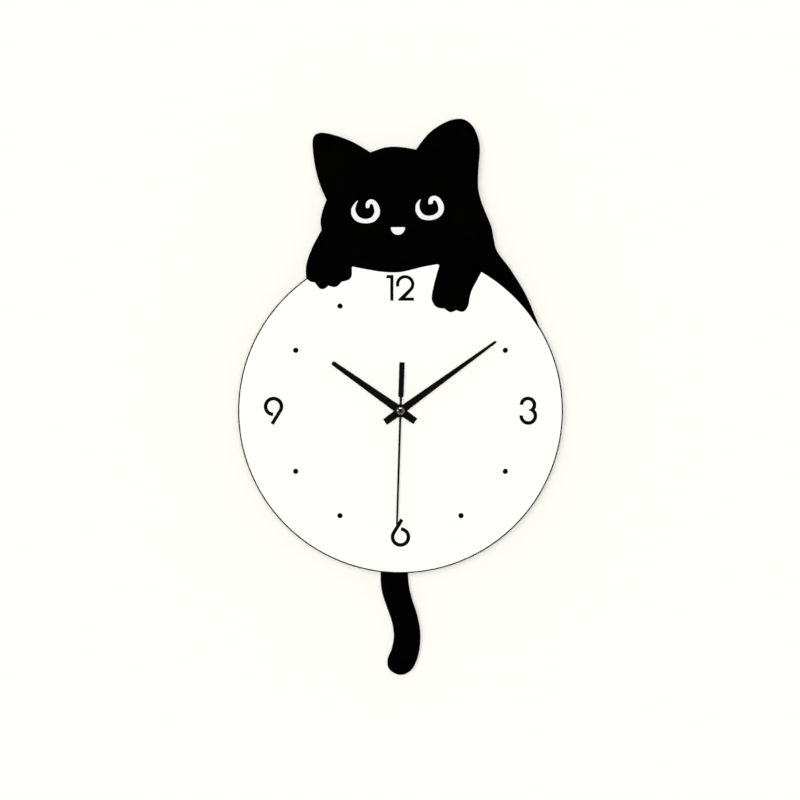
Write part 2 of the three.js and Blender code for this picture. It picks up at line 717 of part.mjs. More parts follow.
function stepMotor() {
  const airGap = 0.6;
  const sheet = plate(rectangle(-7, 19, 7, CORE_TOP), 1, STATOR_BACK);
  const window = block(-3.5, 15.5, -15, -5, 16.4, CORE_BOTTOM);
  const rotorHole = rod(ROTOR, ROTOR_RADIUS + airGap, -15, -5);
  const fifthHole = rod(FIFTH, 1.8, -15, -5);
  piece('stator', 'steel', carved([sheet], [window, rotorHole, fifthHole]));

  const coreMiddle = (CORE_BOTTOM + CORE_TOP) / 2;
  const winding = block(-2, 14, -13.8, -7.6, coreMiddle - 3.2, coreMiddle + 3.2);
  const flanges = [-2.8, 13.6].map(
    (x) => block(x, x + 1.2, -14.3, -7.6, coreMiddle - 3.4, coreMiddle + 3.6),
  );
  const core = block(-5, 17, STATOR_BACK - 1.1, STATOR_BACK + 0.1, CORE_BOTTOM - 0.1, CORE_TOP + 0.1);
  piece('drive_coil', 'copper', carved([winding, ...flanges], [core]));
}

function circuitBoard() {
  const boardBack = -10;
  const board = block(-25.5, -13, boardBack - 1.2, boardBack, 8, 22);
  piece('circuit_board', 'board', board);
  const crystal = new THREE.CylinderGeometry(1, 1, 6, flats(1));
  crystal.rotateX(Math.PI / 2);
  crystal.translate(-22, boardBack + 1.05, 15);
  piece('quartz_crystal', 'steel', crystal);
}

// ---------------------------------------------------------------- case, cover and battery

function movementHousing() {
  const box = block(-CASE_HALF_WIDTH, CASE_HALF_WIDTH, CASE_FRONT, 0, CASE_BOTTOM, CASE_TOP);
  const rooms = [
    [GEAR_FLOOR + SHELF, CASE_TOP - WALL],
    [BAY_FLOOR + SHELF, GEAR_FLOOR],
    [CASE_BOTTOM + WALL, BAY_FLOOR],
  ].map(([floor, top]) => block(-CASE_INNER, CASE_INNER, CASE_INSIDE, 1, floor, top));
  const leverSlot = block(-11, 11, -15, -5, CASE_BOTTOM - 1, CASE_BOTTOM + WALL + 1);
  const neck = rod(CENTRE, NECK_RADIUS, NECK_TIP, CASE_FRONT + 0.5);
  const neckBore = rod(CENTRE, NECK_BORE, NECK_TIP - 1, CASE_INSIDE + 1);

  const postRoot = CASE_INSIDE - 0.5;
  const motionPost = rod(MOTION, POST, postRoot, MOTION_LAYER + TOOTH_WIDTH + 0.3);
  const thirdBearing = rod(THIRD, 1.5, postRoot, CASE_INSIDE + 1.5);
  const rotorBearing = rod(ROTOR, 1.4, postRoot, FIFTH_LAYER - 0.4);
  const thirdSocket = rod(THIRD, THIRD_ARBOR + FIT, CASE_INSIDE, CASE_INSIDE + 3);
  const rotorSocket = rod(ROTOR, ROTOR_ARBOR + FIT, FIFTH_LAYER - 2, FIFTH_LAYER + 1);
  const screwPosts = COVER_SCREWS.map((place) => rod(place, 2.3, postRoot, COVER_FRONT - FIT));
  const screwHoles = COVER_SCREWS.map((place) => rod(place, 0.9, -14, -5));
  const pivotBoss = rod([0, PIVOT_Z], 2.8, postRoot, LEVER_FRONT - 1);
  const pivotHole = rod([0, PIVOT_Z], PIVOT_PIN + FIT, CASE_INSIDE, LEVER_FRONT);
  const hangerPosts = HANGER_SCREWS.map(
    (x) => block(x - HANGER_POST, x + HANGER_POST, -13, -5, CASE_TOP - 6, CASE_TOP - 1),
  );
  const hangerHoles = HANGER_SCREWS.map(
    (x) => upright(x, HANGER_SCREW_Y, 0.9, CASE_TOP - 7, CASE_TOP + 1),
  );
  const cellRests = [-14, 14].map(
    (x) => block(x - 1, x + 1, postRoot, CELL_Y, BAY_FLOOR + 0.5, GEAR_FLOOR),
  );
  const cellRoom = sideways(CELL_RADIUS + 0.3, -26, 26);

  piece('movement_housing', 'housing', carved(
    [
      carved([box], rooms), neck, motionPost, thirdBearing, rotorBearing, ...screwPosts, pivotBoss,
      ...hangerPosts, ...cellRests.map((rest) => carved([rest], [cellRoom])),
    ],
    [neckBore, thirdSocket, rotorSocket, ...screwHoles, pivotHole, leverSlot, ...hangerHoles],
  ));
}

// A round bar along Z.
function upright(x, y, radius, bottom, top) {
  const geometry = new THREE.CylinderGeometry(radius, radius, top - bottom, flats(radius));
  geometry.rotateX(Math.PI / 2);
  geometry.translate(x, y, (bottom + top) / 2);
  return geometry;
}

// A round bar along X on the battery's axis.
function sideways(radius, left, right) {
  const geometry = new THREE.CylinderGeometry(radius, radius, right - left, flats(radius));
  geometry.rotateZ(Math.PI / 2);
  geometry.translate((left + right) / 2, CELL_Y, CELL_Z);
  return geometry;
}

function rearCover() {
  const edge = 0.3;
  const side = CASE_INNER - edge;
  const bottom = GEAR_FLOOR + SHELF + edge;
  const sheet = block(-side, side, COVER_FRONT, COVER_BACK, bottom, CASE_TOP - WALL - edge);
  const bearings = [THIRD, CENTRE, ROTOR];
  const rearBearings = bearings.map((place) => rod(place, 1.5, COVER_FRONT - 1, COVER_FRONT + 0.5));
  const sockets = bearings.map((place) => rod(place, 0.6, COVER_FRONT - 2, COVER_FRONT));
  const fifthPost = rod(FIFTH, POST, SECOND_LAYER - 0.3, COVER_FRONT + 0.5);
  const shaftHole = rod(KNOB, KNOB_SHAFT + 0.3, -10, 0);
  const screwHoles = COVER_SCREWS.map((place) => rod(place, 1, -10, 0));
  const postRoom = HANGER_POST + edge;
  const hangerRoom = HANGER_SCREWS.map(
    (x) => block(x - postRoom, x + postRoom, -10, 0, CASE_TOP - 6 - edge, CASE_TOP),
  );
  piece('rear_cover', 'housing', carved(
    [sheet, ...rearBearings, fifthPost],
    [...sockets, shaftHole, ...screwHoles, ...hangerRoom],
  ));
  COVER_SCREWS.forEach((place, i) => {
    const shank = 0.75;
    const head = 1.9;
    const headBack = COVER_BACK + 1.1;
    piece(`cover_screw_${i + 1}`, 'steel', turned(
      place,
      [[0, -12.5], [shank, -12], [shank, COVER_BACK], [head, COVER_BACK], [head, headBack - 0.4],
        [head - 0.5, headBack], [0, headBack]],
    ));
  });
}

function battery() {
  const half = CELL_LENGTH / 2;
  const edge = 0.6;
  const button = 2.7;
  const buttonEnd = half + 1.2;
  const can = lathed([
    [0, -half], [CELL_RADIUS - edge, -half], [CELL_RADIUS, -half + edge], [CELL_RADIUS, half - edge],
    [CELL_RADIUS - edge, half], [button, half], [button, buttonEnd], [0, buttonEnd],
  ]);
  can.rotateZ(-Math.PI / 2);
  can.translate(CELL_X, CELL_Y, CELL_Z);
  piece('battery', 'sleeve', can);
}

function batteryContacts() {
  const half = 5;
  const low = CELL_Z - half;
  const high = CELL_Z + half;
  const front = CELL_Y - half;
  const back = CELL_Y + half;
  piece('contact_plate', 'steel', block(CASE_INNER - 0.4, CASE_INNER - 0.1, front, back, low, high));

  const turns = 3;
  const steps = 30;
  const coilLength = 2.6;
  const rootRadius = 4.2;
  const tipRadius = 2.8;
  const wireRadius = 0.35;
  const sheetFront = -CASE_INNER + 0.6;
  const coil = [];
  for (let i = 0; i <= steps; i += 1) {
    const share = i / steps;
    const [y, z] = polar(THREE.MathUtils.lerp(rootRadius, tipRadius, share), 360 * turns * share);
    coil.push(new THREE.Vector3(sheetFront + coilLength * share, CELL_Y + y, CELL_Z + z));
  }
  const wire = new THREE.ExtrudeGeometry(circle(CENTRE, wireRadius, 60), {
    steps: steps * 2,
    extrudePath: new THREE.CatmullRomCurve3(coil),
    bevelEnabled: false,
  });
  const base = block(-CASE_INNER + 0.1, sheetFront, front, back, low, high);
  piece('contact_spring', 'steel', carved([base, wire]));
}

// ---------------------------------------------------------------- tail and its drive

function tailDrive() {
  const boardFront = CASE_INSIDE + 0.1;
  const boardBack = boardFront + 1.2;
  const board = block(-20, 20, boardFront, boardBack, MAGNET_Z - 11, MAGNET_Z + 12);
  piece('pendulum_board', 'board', board);
  const coil = ring([0, MAGNET_Z], 8.5, 3.2, boardBack, boardBack + 3.6);
  piece('pendulum_coil', 'copper', coil);
  piece('pivot_pin', 'steel', turned(
    [0, PIVOT_Z],
    [[0, CASE_INSIDE + 0.2], [PIVOT_PIN, CASE_INSIDE + 0.2], [PIVOT_PIN, -6.6], [0.6, -6.2], [0, -6.2]],
  ));
  piece('pivot_clip', 'steel', ring([0, PIVOT_Z], 2.4, PIVOT_PIN + FIT, -7.9, -7.3));
}

// The lever hangs on the pin, carries the magnet past the coil and ends in a peg below the case.
function tailLever() {
  const depth = LEVER_BACK - LEVER_FRONT;
  const armHalf = 2.6;
  const endHalf = 2.4;
  const armEnd = ROD_PEG_Z - 3.4;
  const eye = rod([0, PIVOT_Z], 3.4, LEVER_FRONT - 0.4, LEVER_BACK + 0.6);
  const arm = plate(outline([
    [-armHalf, PIVOT_Z], [-armHalf, MAGNET_Z], [-endHalf, CASE_BOTTOM], [-endHalf, armEnd],
    [endHalf, armEnd], [endHalf, CASE_BOTTOM], [armHalf, MAGNET_Z], [armHalf, PIVOT_Z],
  ]), depth, LEVER_BACK);
  const seat = rod([0, MAGNET_Z], 6.6, LEVER_FRONT, LEVER_BACK);
  const peg = rod([0, ROD_PEG_Z], PEG, ROD_FRONT - 0.6, LEVER_BACK - 1);
  const bore = rod([0, PIVOT_Z], PIVOT_PIN + 0.15, -15, -5);
  piece('pendulum_lever', 'housing', carved([eye, arm, seat, peg], [bore]));
  piece('pendulum_magnet', 'magnet', ring([0, MAGNET_Z], 6, 1.5, LEVER_FRONT - 3, LEVER_FRONT));
}

function rivetHoles() {
  return RIVET_HEIGHTS.map((z) => rod([0, z], RIVET_SHANK + FIT, -20, 0));
}

function tailRod() {
  const halfWidth = 3;
  const strip = outline(
    arc([0, ROD_PEG_Z], halfWidth + 0.4, 0, 180, 20),
    [[-halfWidth, ROD_END_Z], [halfWidth, ROD_END_Z]],
  );
  const holes = [
    rod([0, ROD_PEG_Z], PEG + FIT, -20, 0),
    ...rivetHoles(),
  ];
  const thickness = ROD_BACK - ROD_FRONT;
  piece('pendulum_rod', 'steel', carved([plate(strip, thickness, ROD_BACK)], holes));
}

// The tail hangs from behind the dial, swings out to one side and curls back to a round tip.
function tail() {
  const shape = outline(
    curve([
      [-10.5, -119], [-14.5, -127], [-17.4, -138], [-18.4, -150], [-17.5, -166], [-12.9, -181],
      [-8.2, -194.5], [-6.2, -208], [-8.4, -221], [-11.9, -229.5], [-10.5, -239.1], [0, -244.6],
      [10.7, -239.2], [16.8, -225], [18.4, -206.5], [15.5, -189], [10.6, -174], [7.5, -159], [7.4, -145],
      [9.2, -132], [11.5, -122], [9.5, -115], [1, -111], [-7, -113.5], [-10.5, -119],
    ]),
  );
  piece('tail', 'black', carved([plate(shape, SHEET, TAIL_BACK)], rivetHoles()));
  RIVET_HEIGHTS.forEach((z, i) => {
    const front = TAIL_BACK - SHEET;
    const head = 2.2;
    const tailHead = 1.9;
    piece(`tail_rivet_${i + 1}`, 'steel', turned(
      [0, z],
      [[0, front - 0.9], [head, front - 0.4], [head, front], [RIVET_SHANK, front],
        [RIVET_SHANK, ROD_BACK], [tailHead, ROD_BACK], [tailHead, ROD_BACK + 0.3], [0, ROD_BACK + 0.7]],
    ));
  });
}

// ---------------------------------------------------------------- hanger

// A bent steel plate on top of the case. The nail bears on the top edge of its slot.
function hanger() {
  const gauge = 1;
  const footHalf = 24;
  const neckHalf = 13;
  const upBack = -0.5;
  const slotHalf = 4.7;
  const slotBottom = NAIL_ABOVE_ARBOR - 7.6;
  const corner = 5;
  const slotCorner = 2;
  const top = 51;
  const shoulder = CASE_TOP + 3;
  const waist = CASE_TOP + 9;
  const slotArcs = NAIL_ABOVE_ARBOR - slotCorner;
  const upShape = outline(
    [[-footHalf, CASE_TOP], [footHalf, CASE_TOP], [footHalf, shoulder], [neckHalf, waist]],
    arc([neckHalf - corner, top - corner], corner, 0, 90, 30),
    arc([corner - neckHalf, top - corner], corner, 90, 180, 30),
    [[-neckHalf, waist], [-footHalf, shoulder]],
  );
  const slot = outline(
    [[-slotHalf, slotBottom], [slotHalf, slotBottom]],
    arc([slotHalf - slotCorner, slotArcs], slotCorner, 0, 90, 30),
    arc([slotCorner - slotHalf, slotArcs], slotCorner, 90, 180, 30),
  );
  const footBase = block(-footHalf, footHalf, -13, upBack, CASE_TOP, CASE_TOP + gauge);
  piece('hanger', 'steel', carved(
    [plate(upShape, gauge, upBack), footBase],
    [
      plate(slot, gauge + 2, upBack + 1),
      ...HANGER_SCREWS.map((x) => upright(x, HANGER_SCREW_Y, 1.1, CASE_TOP - 1, CASE_TOP + 3)),
    ],
  ));
  HANGER_SCREWS.forEach((x, i) => {
    const shank = 0.75;
    const head = 2;
    const headTop = gauge + 1.1;
    const screw = lathed([
      [0, -4.6], [shank, -4], [shank, gauge], [head, gauge], [head, headTop - 0.4], [1.5, headTop],
      [0, headTop],
    ]);
    screw.rotateX(Math.PI / 2);
    screw.translate(x, HANGER_SCREW_Y, CASE_TOP);
    piece(`hanger_screw_${i + 1}`, 'steel', screw);
  });
}

dialPanel();
dialFace();
eyesAndMouth();
numeralsAndDots();
hands();
neckFixings();
motionWork();
goingTrain();
stepMotor();
circuitBoard();
movementHousing();
rearCover();
battery();
batteryContacts();
tailDrive();
tailLever();
tailRod();
tail();
hanger();

export default clock;
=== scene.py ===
"""Looks for the cat wall clock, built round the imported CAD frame. Metres, front towards -Y."""

import json
import math

import bmesh
import bpy
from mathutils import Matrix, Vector


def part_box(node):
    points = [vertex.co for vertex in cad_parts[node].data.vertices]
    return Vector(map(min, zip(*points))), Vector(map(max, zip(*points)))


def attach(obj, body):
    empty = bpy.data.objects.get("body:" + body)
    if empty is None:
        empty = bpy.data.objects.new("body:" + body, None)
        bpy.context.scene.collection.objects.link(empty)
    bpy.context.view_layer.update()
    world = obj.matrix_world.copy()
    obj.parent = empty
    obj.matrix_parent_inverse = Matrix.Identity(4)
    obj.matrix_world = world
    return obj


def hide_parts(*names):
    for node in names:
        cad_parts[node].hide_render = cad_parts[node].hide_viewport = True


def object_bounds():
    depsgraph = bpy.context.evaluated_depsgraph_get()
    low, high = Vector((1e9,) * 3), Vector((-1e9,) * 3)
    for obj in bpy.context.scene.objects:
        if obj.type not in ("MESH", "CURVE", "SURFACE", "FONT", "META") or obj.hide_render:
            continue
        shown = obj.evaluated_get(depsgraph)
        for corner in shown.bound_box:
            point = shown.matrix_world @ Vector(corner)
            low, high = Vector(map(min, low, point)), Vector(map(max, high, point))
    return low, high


MM = 0.001

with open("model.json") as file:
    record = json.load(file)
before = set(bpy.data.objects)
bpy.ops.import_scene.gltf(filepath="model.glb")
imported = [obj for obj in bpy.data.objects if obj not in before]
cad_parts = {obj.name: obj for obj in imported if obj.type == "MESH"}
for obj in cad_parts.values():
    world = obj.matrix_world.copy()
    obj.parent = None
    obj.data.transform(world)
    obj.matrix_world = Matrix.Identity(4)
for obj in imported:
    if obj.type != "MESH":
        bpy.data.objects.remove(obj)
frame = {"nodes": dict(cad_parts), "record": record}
cad_low, cad_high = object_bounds()
nodes = frame["nodes"]


def middle(node):
    """The middle of a CAD node's box."""
    low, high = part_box(node)
    return (Vector(low) + Vector(high)) / 2


ARBOR = middle("dial_washer")
WELD = 0.002 * MM  # vertices this close are one
LEVEL = 0.01 * MM  # vertices this close to a plane or an axis lie on it
SHARP_EDGE = math.radians(32)  # faces that meet more steeply than this are shaded apart
SHARP_CORNER = math.radians(34)  # an outline that turns more than this has a corner
LONG_SIDE = 2.6  # a side this many times as long as the next one is a straight side
CURVE_STEPS = 4  # points to each span of a curve
STOOD_FOR = set()  # CAD nodes that a finer piece stands for


# ------------------------------------------------------------------ node materials


NOISE_LOW, NOISE_HIGH = 0.35, 0.65  # noise stays mostly between these two
WAVE_LENGTH = 0.314  # one stripe of a wave texture at scale 1, in metres


class Finish:
    """A material whose colour, gloss and relief come from node patterns in object space."""

    def __init__(self, name, colour, roughness, metallic=0.0, specular=0.5):
        self.material = bpy.data.materials.new(name)
        self.material.use_nodes = True
        self.tree = self.material.node_tree
        self.shader = self.tree.nodes["Principled BSDF"]
        self.colour = colour
        self.shader.inputs["Base Color"].default_value = (*colour, 1)
        self.shader.inputs["Roughness"].default_value = roughness
        self.shader.inputs["Metallic"].default_value = metallic
        self.shader.inputs["Specular IOR Level"].default_value = specular
        self.place = self.tree.nodes.new("ShaderNodeTexCoord").outputs["Object"]

    def stretched(self, scale):
        """Object coordinates stretched along each axis, for grain that runs one way."""
        mapping = self.tree.nodes.new("ShaderNodeMapping")
        mapping.inputs["Scale"].default_value = scale
        self.tree.links.new(self.place, mapping.inputs["Vector"])
        return mapping.outputs["Vector"]

    def noise(self, size_mm, detail=3.0, stretch=None):
        """Cloudy pattern with patches about size_mm across."""
        texture = self.tree.nodes.new("ShaderNodeTexNoise")
        texture.inputs["Scale"].default_value = 1 / (size_mm * MM)
        texture.inputs["Detail"].default_value = detail
        place = self.stretched(stretch) if stretch else self.place
        self.tree.links.new(place, texture.inputs["Vector"])
        return texture.outputs["Fac"]

    def cells(self, size_mm, feature="F1"):
        """Pebbled pattern with bumps about size_mm across, or how far it is to the edge of one."""
        texture = self.tree.nodes.new("ShaderNodeTexVoronoi")
        texture.feature = feature
        texture.inputs["Scale"].default_value = 1 / (size_mm * MM)
        self.tree.links.new(self.place, texture.inputs["Vector"])
        return texture.outputs["Distance"]

    def bands(self, size_mm, axis):
        """Even stripes size_mm apart along an axis."""
        texture = self.tree.nodes.new("ShaderNodeTexWave")
        texture.bands_direction = axis
        texture.inputs["Scale"].default_value = WAVE_LENGTH / (size_mm * MM)
        self.tree.links.new(self.place, texture.inputs["Vector"])
        return texture.outputs["Fac"]

    def gloss(self, pattern, low, high):
        """Roughness that goes from low to high with the pattern."""
        spread = self.tree.nodes.new("ShaderNodeMapRange")
        spread.inputs["From Min"].default_value = NOISE_LOW
        spread.inputs["From Max"].default_value = NOISE_HIGH
        spread.inputs["To Min"].default_value = low
        spread.inputs["To Max"].default_value = high
        self.tree.links.new(pattern, spread.inputs["Value"])
        self.tree.links.new(spread.outputs["Result"], self.shader.inputs["Roughness"])

    def tint(self, pattern, other, start=NOISE_LOW, end=NOISE_HIGH):
        """Blends the base colour towards another one where the pattern is high."""
        ramp = self.tree.nodes.new("ShaderNodeValToRGB")
        low, high = ramp.color_ramp.elements
        low.position, high.position = start, end
        low.color, high.color = (*self.colour, 1), (*other, 1)
        self.tree.links.new(pattern, ramp.inputs["Fac"])
        self.tree.links.new(ramp.outputs["Color"], self.shader.inputs["Base Color"])

    def bump(self, pattern, depth_mm, strength):
        """Relief that follows the pattern."""
        relief = self.tree.nodes.new("ShaderNodeBump")
        relief.inputs["Distance"].default_value = depth_mm * MM
        relief.inputs["Strength"].default_value = strength
        self.tree.links.new(pattern, relief.inputs["Height"])
        self.tree.links.new(relief.outputs["Normal"], self.shader.inputs["Normal"])


def black_acrylic():
    """Polished cast sheet: deep black, a faint swirl in the polish and hardly any waviness."""
    finish = Finish("black_acrylic", (0.0005, 0.0004, 0.0004), roughness=0.1, specular=0.45)
    finish.tint(finish.noise(60), (0.0009, 0.0008, 0.0007))
    finish.gloss(finish.noise(14, detail=6), 0.06, 0.13)
    finish.bump(finish.noise(45, detail=1), depth_mm=0.02, strength=0.15)
    return finish


def white_facing():
    finish = Finish("white_facing", (0.97, 0.97, 0.912), roughness=0.42, specular=0.25)
    finish.tint(finish.noise(40), (0.975, 0.975, 0.918))
    finish.gloss(finish.noise(3, detail=5), 0.38, 0.5)
    finish.bump(finish.noise(0.6, detail=3), depth_mm=0.004, strength=0.25)
    return finish


def white_inlay():
    finish = Finish("white_inlay", (0.86, 0.86, 0.86), roughness=0.38, specular=0.3)
    finish.tint(finish.noise(6), (0.88, 0.88, 0.875))
    finish.gloss(finish.noise(1.5, detail=5), 0.32, 0.46)
    finish.bump(finish.noise(0.5, detail=3), depth_mm=0.004, strength=0.3)
    return finish


def printed_ink():
    """Screen-printed black with the slight orange peel of thick ink."""
    finish = Finish("printed_ink", (0.0005, 0.0005, 0.0005), roughness=0.5, specular=0.08)
    finish.tint(finish.noise(1.2, detail=4), (0.0012, 0.0012, 0.0012))
    finish.gloss(finish.noise(0.8, detail=4), 0.38, 0.55)
    finish.bump(finish.cells(0.35), depth_mm=0.006, strength=0.3)
    return finish


def hand_lacquer():
    """Satin black lacquer over rolled aluminium, with the rolling lines just showing."""
    finish = Finish("hand_lacquer", (0.0012, 0.0011, 0.001), roughness=0.4, specular=0.2)
    finish.tint(finish.noise(1.5, detail=5), (0.003, 0.0028, 0.0025))
    finish.gloss(finish.noise(0.7, detail=5), 0.3, 0.46)
    finish.bump(finish.noise(0.35, detail=4), depth_mm=0.006, strength=0.35)
    return finish


def dark_chrome():
    finish = Finish("dark_chrome", (0.42, 0.41, 0.40), roughness=0.14, metallic=1.0)
    finish.tint(finish.noise(2.5), (0.36, 0.355, 0.35))
    finish.gloss(finish.noise(1.1, detail=4), 0.1, 0.2)
    finish.bump(finish.noise(0.3, detail=3), depth_mm=0.002, strength=0.2)
    return finish


def zinc_steel():
    """Rolled and zinc-plated steel: fine lines along X, cloudy passivation."""
    finish = Finish("zinc_steel", (0.36, 0.365, 0.38), roughness=0.34, metallic=1.0)
    finish.tint(finish.noise(6, detail=4), (0.43, 0.43, 0.41))
    finish.gloss(finish.noise(1.2, detail=5, stretch=(0.15, 1, 1)), 0.28, 0.4)
    finish.bump(finish.noise(0.4, detail=2, stretch=(0.05, 1, 1)), depth_mm=0.003, strength=0.2)
    return finish


def bare_aluminium():
    """Stamped strip with drawing lines along its length."""
    finish = Finish("bare_aluminium", (0.63, 0.635, 0.645), roughness=0.3, metallic=1.0)
    finish.tint(finish.noise(7, detail=4), (0.55, 0.555, 0.56))
    finish.gloss(finish.noise(0.8, detail=5, stretch=(1, 1, 0.04)), 0.22, 0.42)
    finish.bump(finish.noise(0.3, detail=2, stretch=(1, 1, 0.03)), depth_mm=0.003, strength=0.25)
    return finish


def turned_brass():
    finish = Finish("turned_brass", (0.62, 0.42, 0.15), roughness=0.26, metallic=1.0)
    finish.tint(finish.noise(3, detail=4), (0.50, 0.33, 0.12))
    finish.gloss(finish.noise(0.8, detail=4), 0.2, 0.36)
    finish.bump(finish.noise(0.25, detail=3), depth_mm=0.004, strength=0.3)
    return finish


def soft_rubber():
    finish = Finish("soft_rubber", (0.018, 0.018, 0.018), roughness=0.82, specular=0.3)
    finish.tint(finish.noise(2, detail=5), (0.032, 0.031, 0.030))
    finish.gloss(finish.noise(1, detail=4), 0.72, 0.92)
    finish.bump(finish.noise(0.3, detail=4), depth_mm=0.02, strength=0.5)
    return finish


def case_plastic():
    """Moulded black ABS with a spark-eroded grain and the odd paler scuff."""
    finish = Finish("case_plastic", (0.020, 0.020, 0.021), roughness=0.48, specular=0.45)
    finish.tint(finish.noise(9, detail=6), (0.034, 0.034, 0.035), start=0.5, end=0.75)
    finish.gloss(finish.noise(2.5, detail=4), 0.4, 0.58)
    finish.bump(finish.cells(0.45), depth_mm=0.02, strength=0.45)
    return finish


def acetal():
    finish = Finish("acetal", (0.80, 0.78, 0.71), roughness=0.4, specular=0.4)
    finish.shader.inputs["Subsurface Weight"].default_value = 0.1
    finish.shader.inputs["Subsurface Scale"].default_value = 0.6 * MM
    finish.tint(finish.noise(4, detail=3), (0.72, 0.70, 0.63))
    finish.gloss(finish.noise(1, detail=4), 0.32, 0.5)
    finish.bump(finish.noise(0.4, detail=3), depth_mm=0.004, strength=0.3)
    return finish


def sintered_ferrite():
    finish = Finish("sintered_ferrite", (0.055, 0.054, 0.056), roughness=0.5, metallic=0.3)
    finish.tint(finish.noise(0.8, detail=6), (0.10, 0.098, 0.10))
    finish.gloss(finish.noise(0.5, detail=5), 0.38, 0.66)
    finish.bump(finish.noise(0.2, detail=5), depth_mm=0.02, strength=0.5)
    return finish


def copper_winding():
    """Enamelled wire wound side by side."""
    finish = Finish("copper_winding", (0.46, 0.15, 0.05), roughness=0.32, metallic=0.85)
    finish.tint(finish.noise(2, detail=4), (0.30, 0.085, 0.03))
    finish.gloss(finish.noise(1, detail=4), 0.24, 0.42)
    finish.bump(finish.bands(0.22, "Y"), depth_mm=0.03, strength=0.8)
    return finish


def circuit_green():
    """Solder mask over copper, with the tracks parted by narrow darker gaps."""
    finish = Finish("circuit_green", (0.005, 0.045, 0.018), roughness=0.34, specular=0.5)
    gaps = finish.cells(4.5, "DISTANCE_TO_EDGE")
    finish.tint(gaps, (0.012, 0.10, 0.036), start=0.05, end=0.09)
    finish.gloss(finish.noise(2, detail=3), 0.26, 0.42)
    finish.bump(gaps, depth_mm=0.03, strength=0.3)
    return finish


def cell_sleeve():
    """Shrink-wrapped sleeve: plain blue."""
    finish = Finish("cell_sleeve", (0.018, 0.075, 0.25), roughness=0.26, metallic=0.25)
    finish.tint(finish.noise(5, detail=3), (0.024, 0.09, 0.29))
    finish.gloss(finish.noise(2, detail=4), 0.2, 0.34)
    finish.bump(finish.noise(2.5, detail=2), depth_mm=0.006, strength=0.12)
    return finish


LOOKS = {
    "black_acrylic": black_acrylic(),
    "white_facing": white_facing(),
    "white_print": white_inlay(),
    "black_ink": printed_ink(),
    "hand_metal": hand_lacquer(),
    "chrome_boss": dark_chrome(),
    "brass_nut": turned_brass(),
    "steel": zinc_steel(),
    "aluminium_rod": bare_aluminium(),
    "rubber_pad": soft_rubber(),
    "case_plastic": case_plastic(),
    "gear_plastic": acetal(),
    "magnet": sintered_ferrite(),
    "copper_coil": copper_winding(),
    "circuit_board": circuit_green(),
    "battery_sleeve": cell_sleeve(),
}
SLOT_OF = {part["node"]: part["material_slot"] for part in frame["record"]["subparts"]}
BODY_OF = {
    node: body
    for body, members in frame["record"]["behaviour"]["bodies"].items()
    for node in members
}


# ------------------------------------------------------------------ outlines from the frame


def front_loops(node):
    """The closed edges of a CAD plate's front face, as lists of (x, z) points."""
    work = bmesh.new()
    work.from_mesh(nodes[node].data)
    bmesh.ops.remove_doubles(work, verts=work.verts, dist=WELD)
    front = min(vertex.co.y for vertex in work.verts)
    flat = {f for f in work.faces if all(v.co.y < front + LEVEL for v in f.verts)}
    rim = [e for e in work.edges if sum(f in flat for f in e.link_faces) == 1]
    neighbours = {}
    for edge in rim:
        a, b = edge.verts
        neighbours.setdefault(a, []).append(b)
        neighbours.setdefault(b, []).append(a)
    loops = []
    waiting = set(neighbours)
    while waiting:
        start = max(waiting, key=lambda v: (v.co.z, v.co.x))
        loop = [start]
        waiting.discard(start)
        while True:
            onward = [v for v in neighbours[loop[-1]] if v in waiting]
            if not onward:
                break
            loop.append(onward[0])
            waiting.discard(onward[0])
        loops.append([Vector((v.co.x, v.co.z)) for v in loop])
    work.free()
    return loops


def signed_area(loop):
    """The area in a closed loop, above zero where the loop runs anticlockwise."""
    return sum(a.cross(b) for a, b in zip(loop, loop[1:] + loop[:1])) / 2


def corners_of(loop):
    """Each point of a closed loop with the point before it and the point after it."""
    return zip(loop[-1:] + loop[:-1], loop, loop[1:] + loop[:1])


def is_break(before, here, after):
    """True at a corner, and where a long straight side meets a row of short chords."""
    one, two = here - before, after - here
    shorter, longer = sorted((one.length, two.length))
    return abs(one.angle_signed(two)) > SHARP_CORNER or longer > LONG_SIDE * shorter


def smooth_span(p0, p1, p2, p3):
    """Points from p1 up to, not including, p2 on the curve through four points."""
    points = []
    for i in range(CURVE_STEPS):
        t = i / CURVE_STEPS
        points.append(0.5 * (
            2 * p1 + (p2 - p0) * t + (2 * p0 - 5 * p1 + 4 * p2 - p3) * t**2
            + (3 * p1 - p0 - 3 * p2 + p3) * t**3
        ))
    return points


def smooth_loop(loop):
    """Finer points through a closed loop's own, with its corners and straight sides kept."""
    count = len(loop)
    broken = [is_break(*corner) for corner in corners_of(loop)]
    fine = []
    for i in range(count):
        p1, p2 = loop[i], loop[(i + 1) % count]
        p0 = 2 * p1 - p2 if broken[i] else loop[i - 1]
        p3 = 2 * p2 - p1 if broken[(i + 1) % count] else loop[(i + 2) % count]
        straight = broken[i] and broken[(i + 1) % count]
        fine += [p1] if straight else smooth_span(p0, p1, p2, p3)
    return fine


def round_corners(loop, radius):
    """The loop with each sharp corner turned into a short curve."""
    most = 0.45  # share of a side that one corner may take up
    rounded = []
    for before, here, after in corners_of(loop):
        one, two = here - before, after - here
        if abs(one.angle_signed(two)) < SHARP_CORNER:
            rounded.append(here)
            continue
        cut = min(radius, most * one.length, most * two.length)
        enter = here - one.normalized() * cut
        leave = here + two.normalized() * cut
        for step in range(CURVE_STEPS + 1):
            t = step / CURVE_STEPS
            rounded.append((1 - t) ** 2 * enter + 2 * t * (1 - t) * here + t**2 * leave)
    return rounded


# ------------------------------------------------------------------ building pieces


def shade(mesh):
    """Smooth shading that stops at the mesh's sharp edges."""
    mesh.shade_smooth()
    mesh.set_sharp_from_angle(angle=SHARP_EDGE)


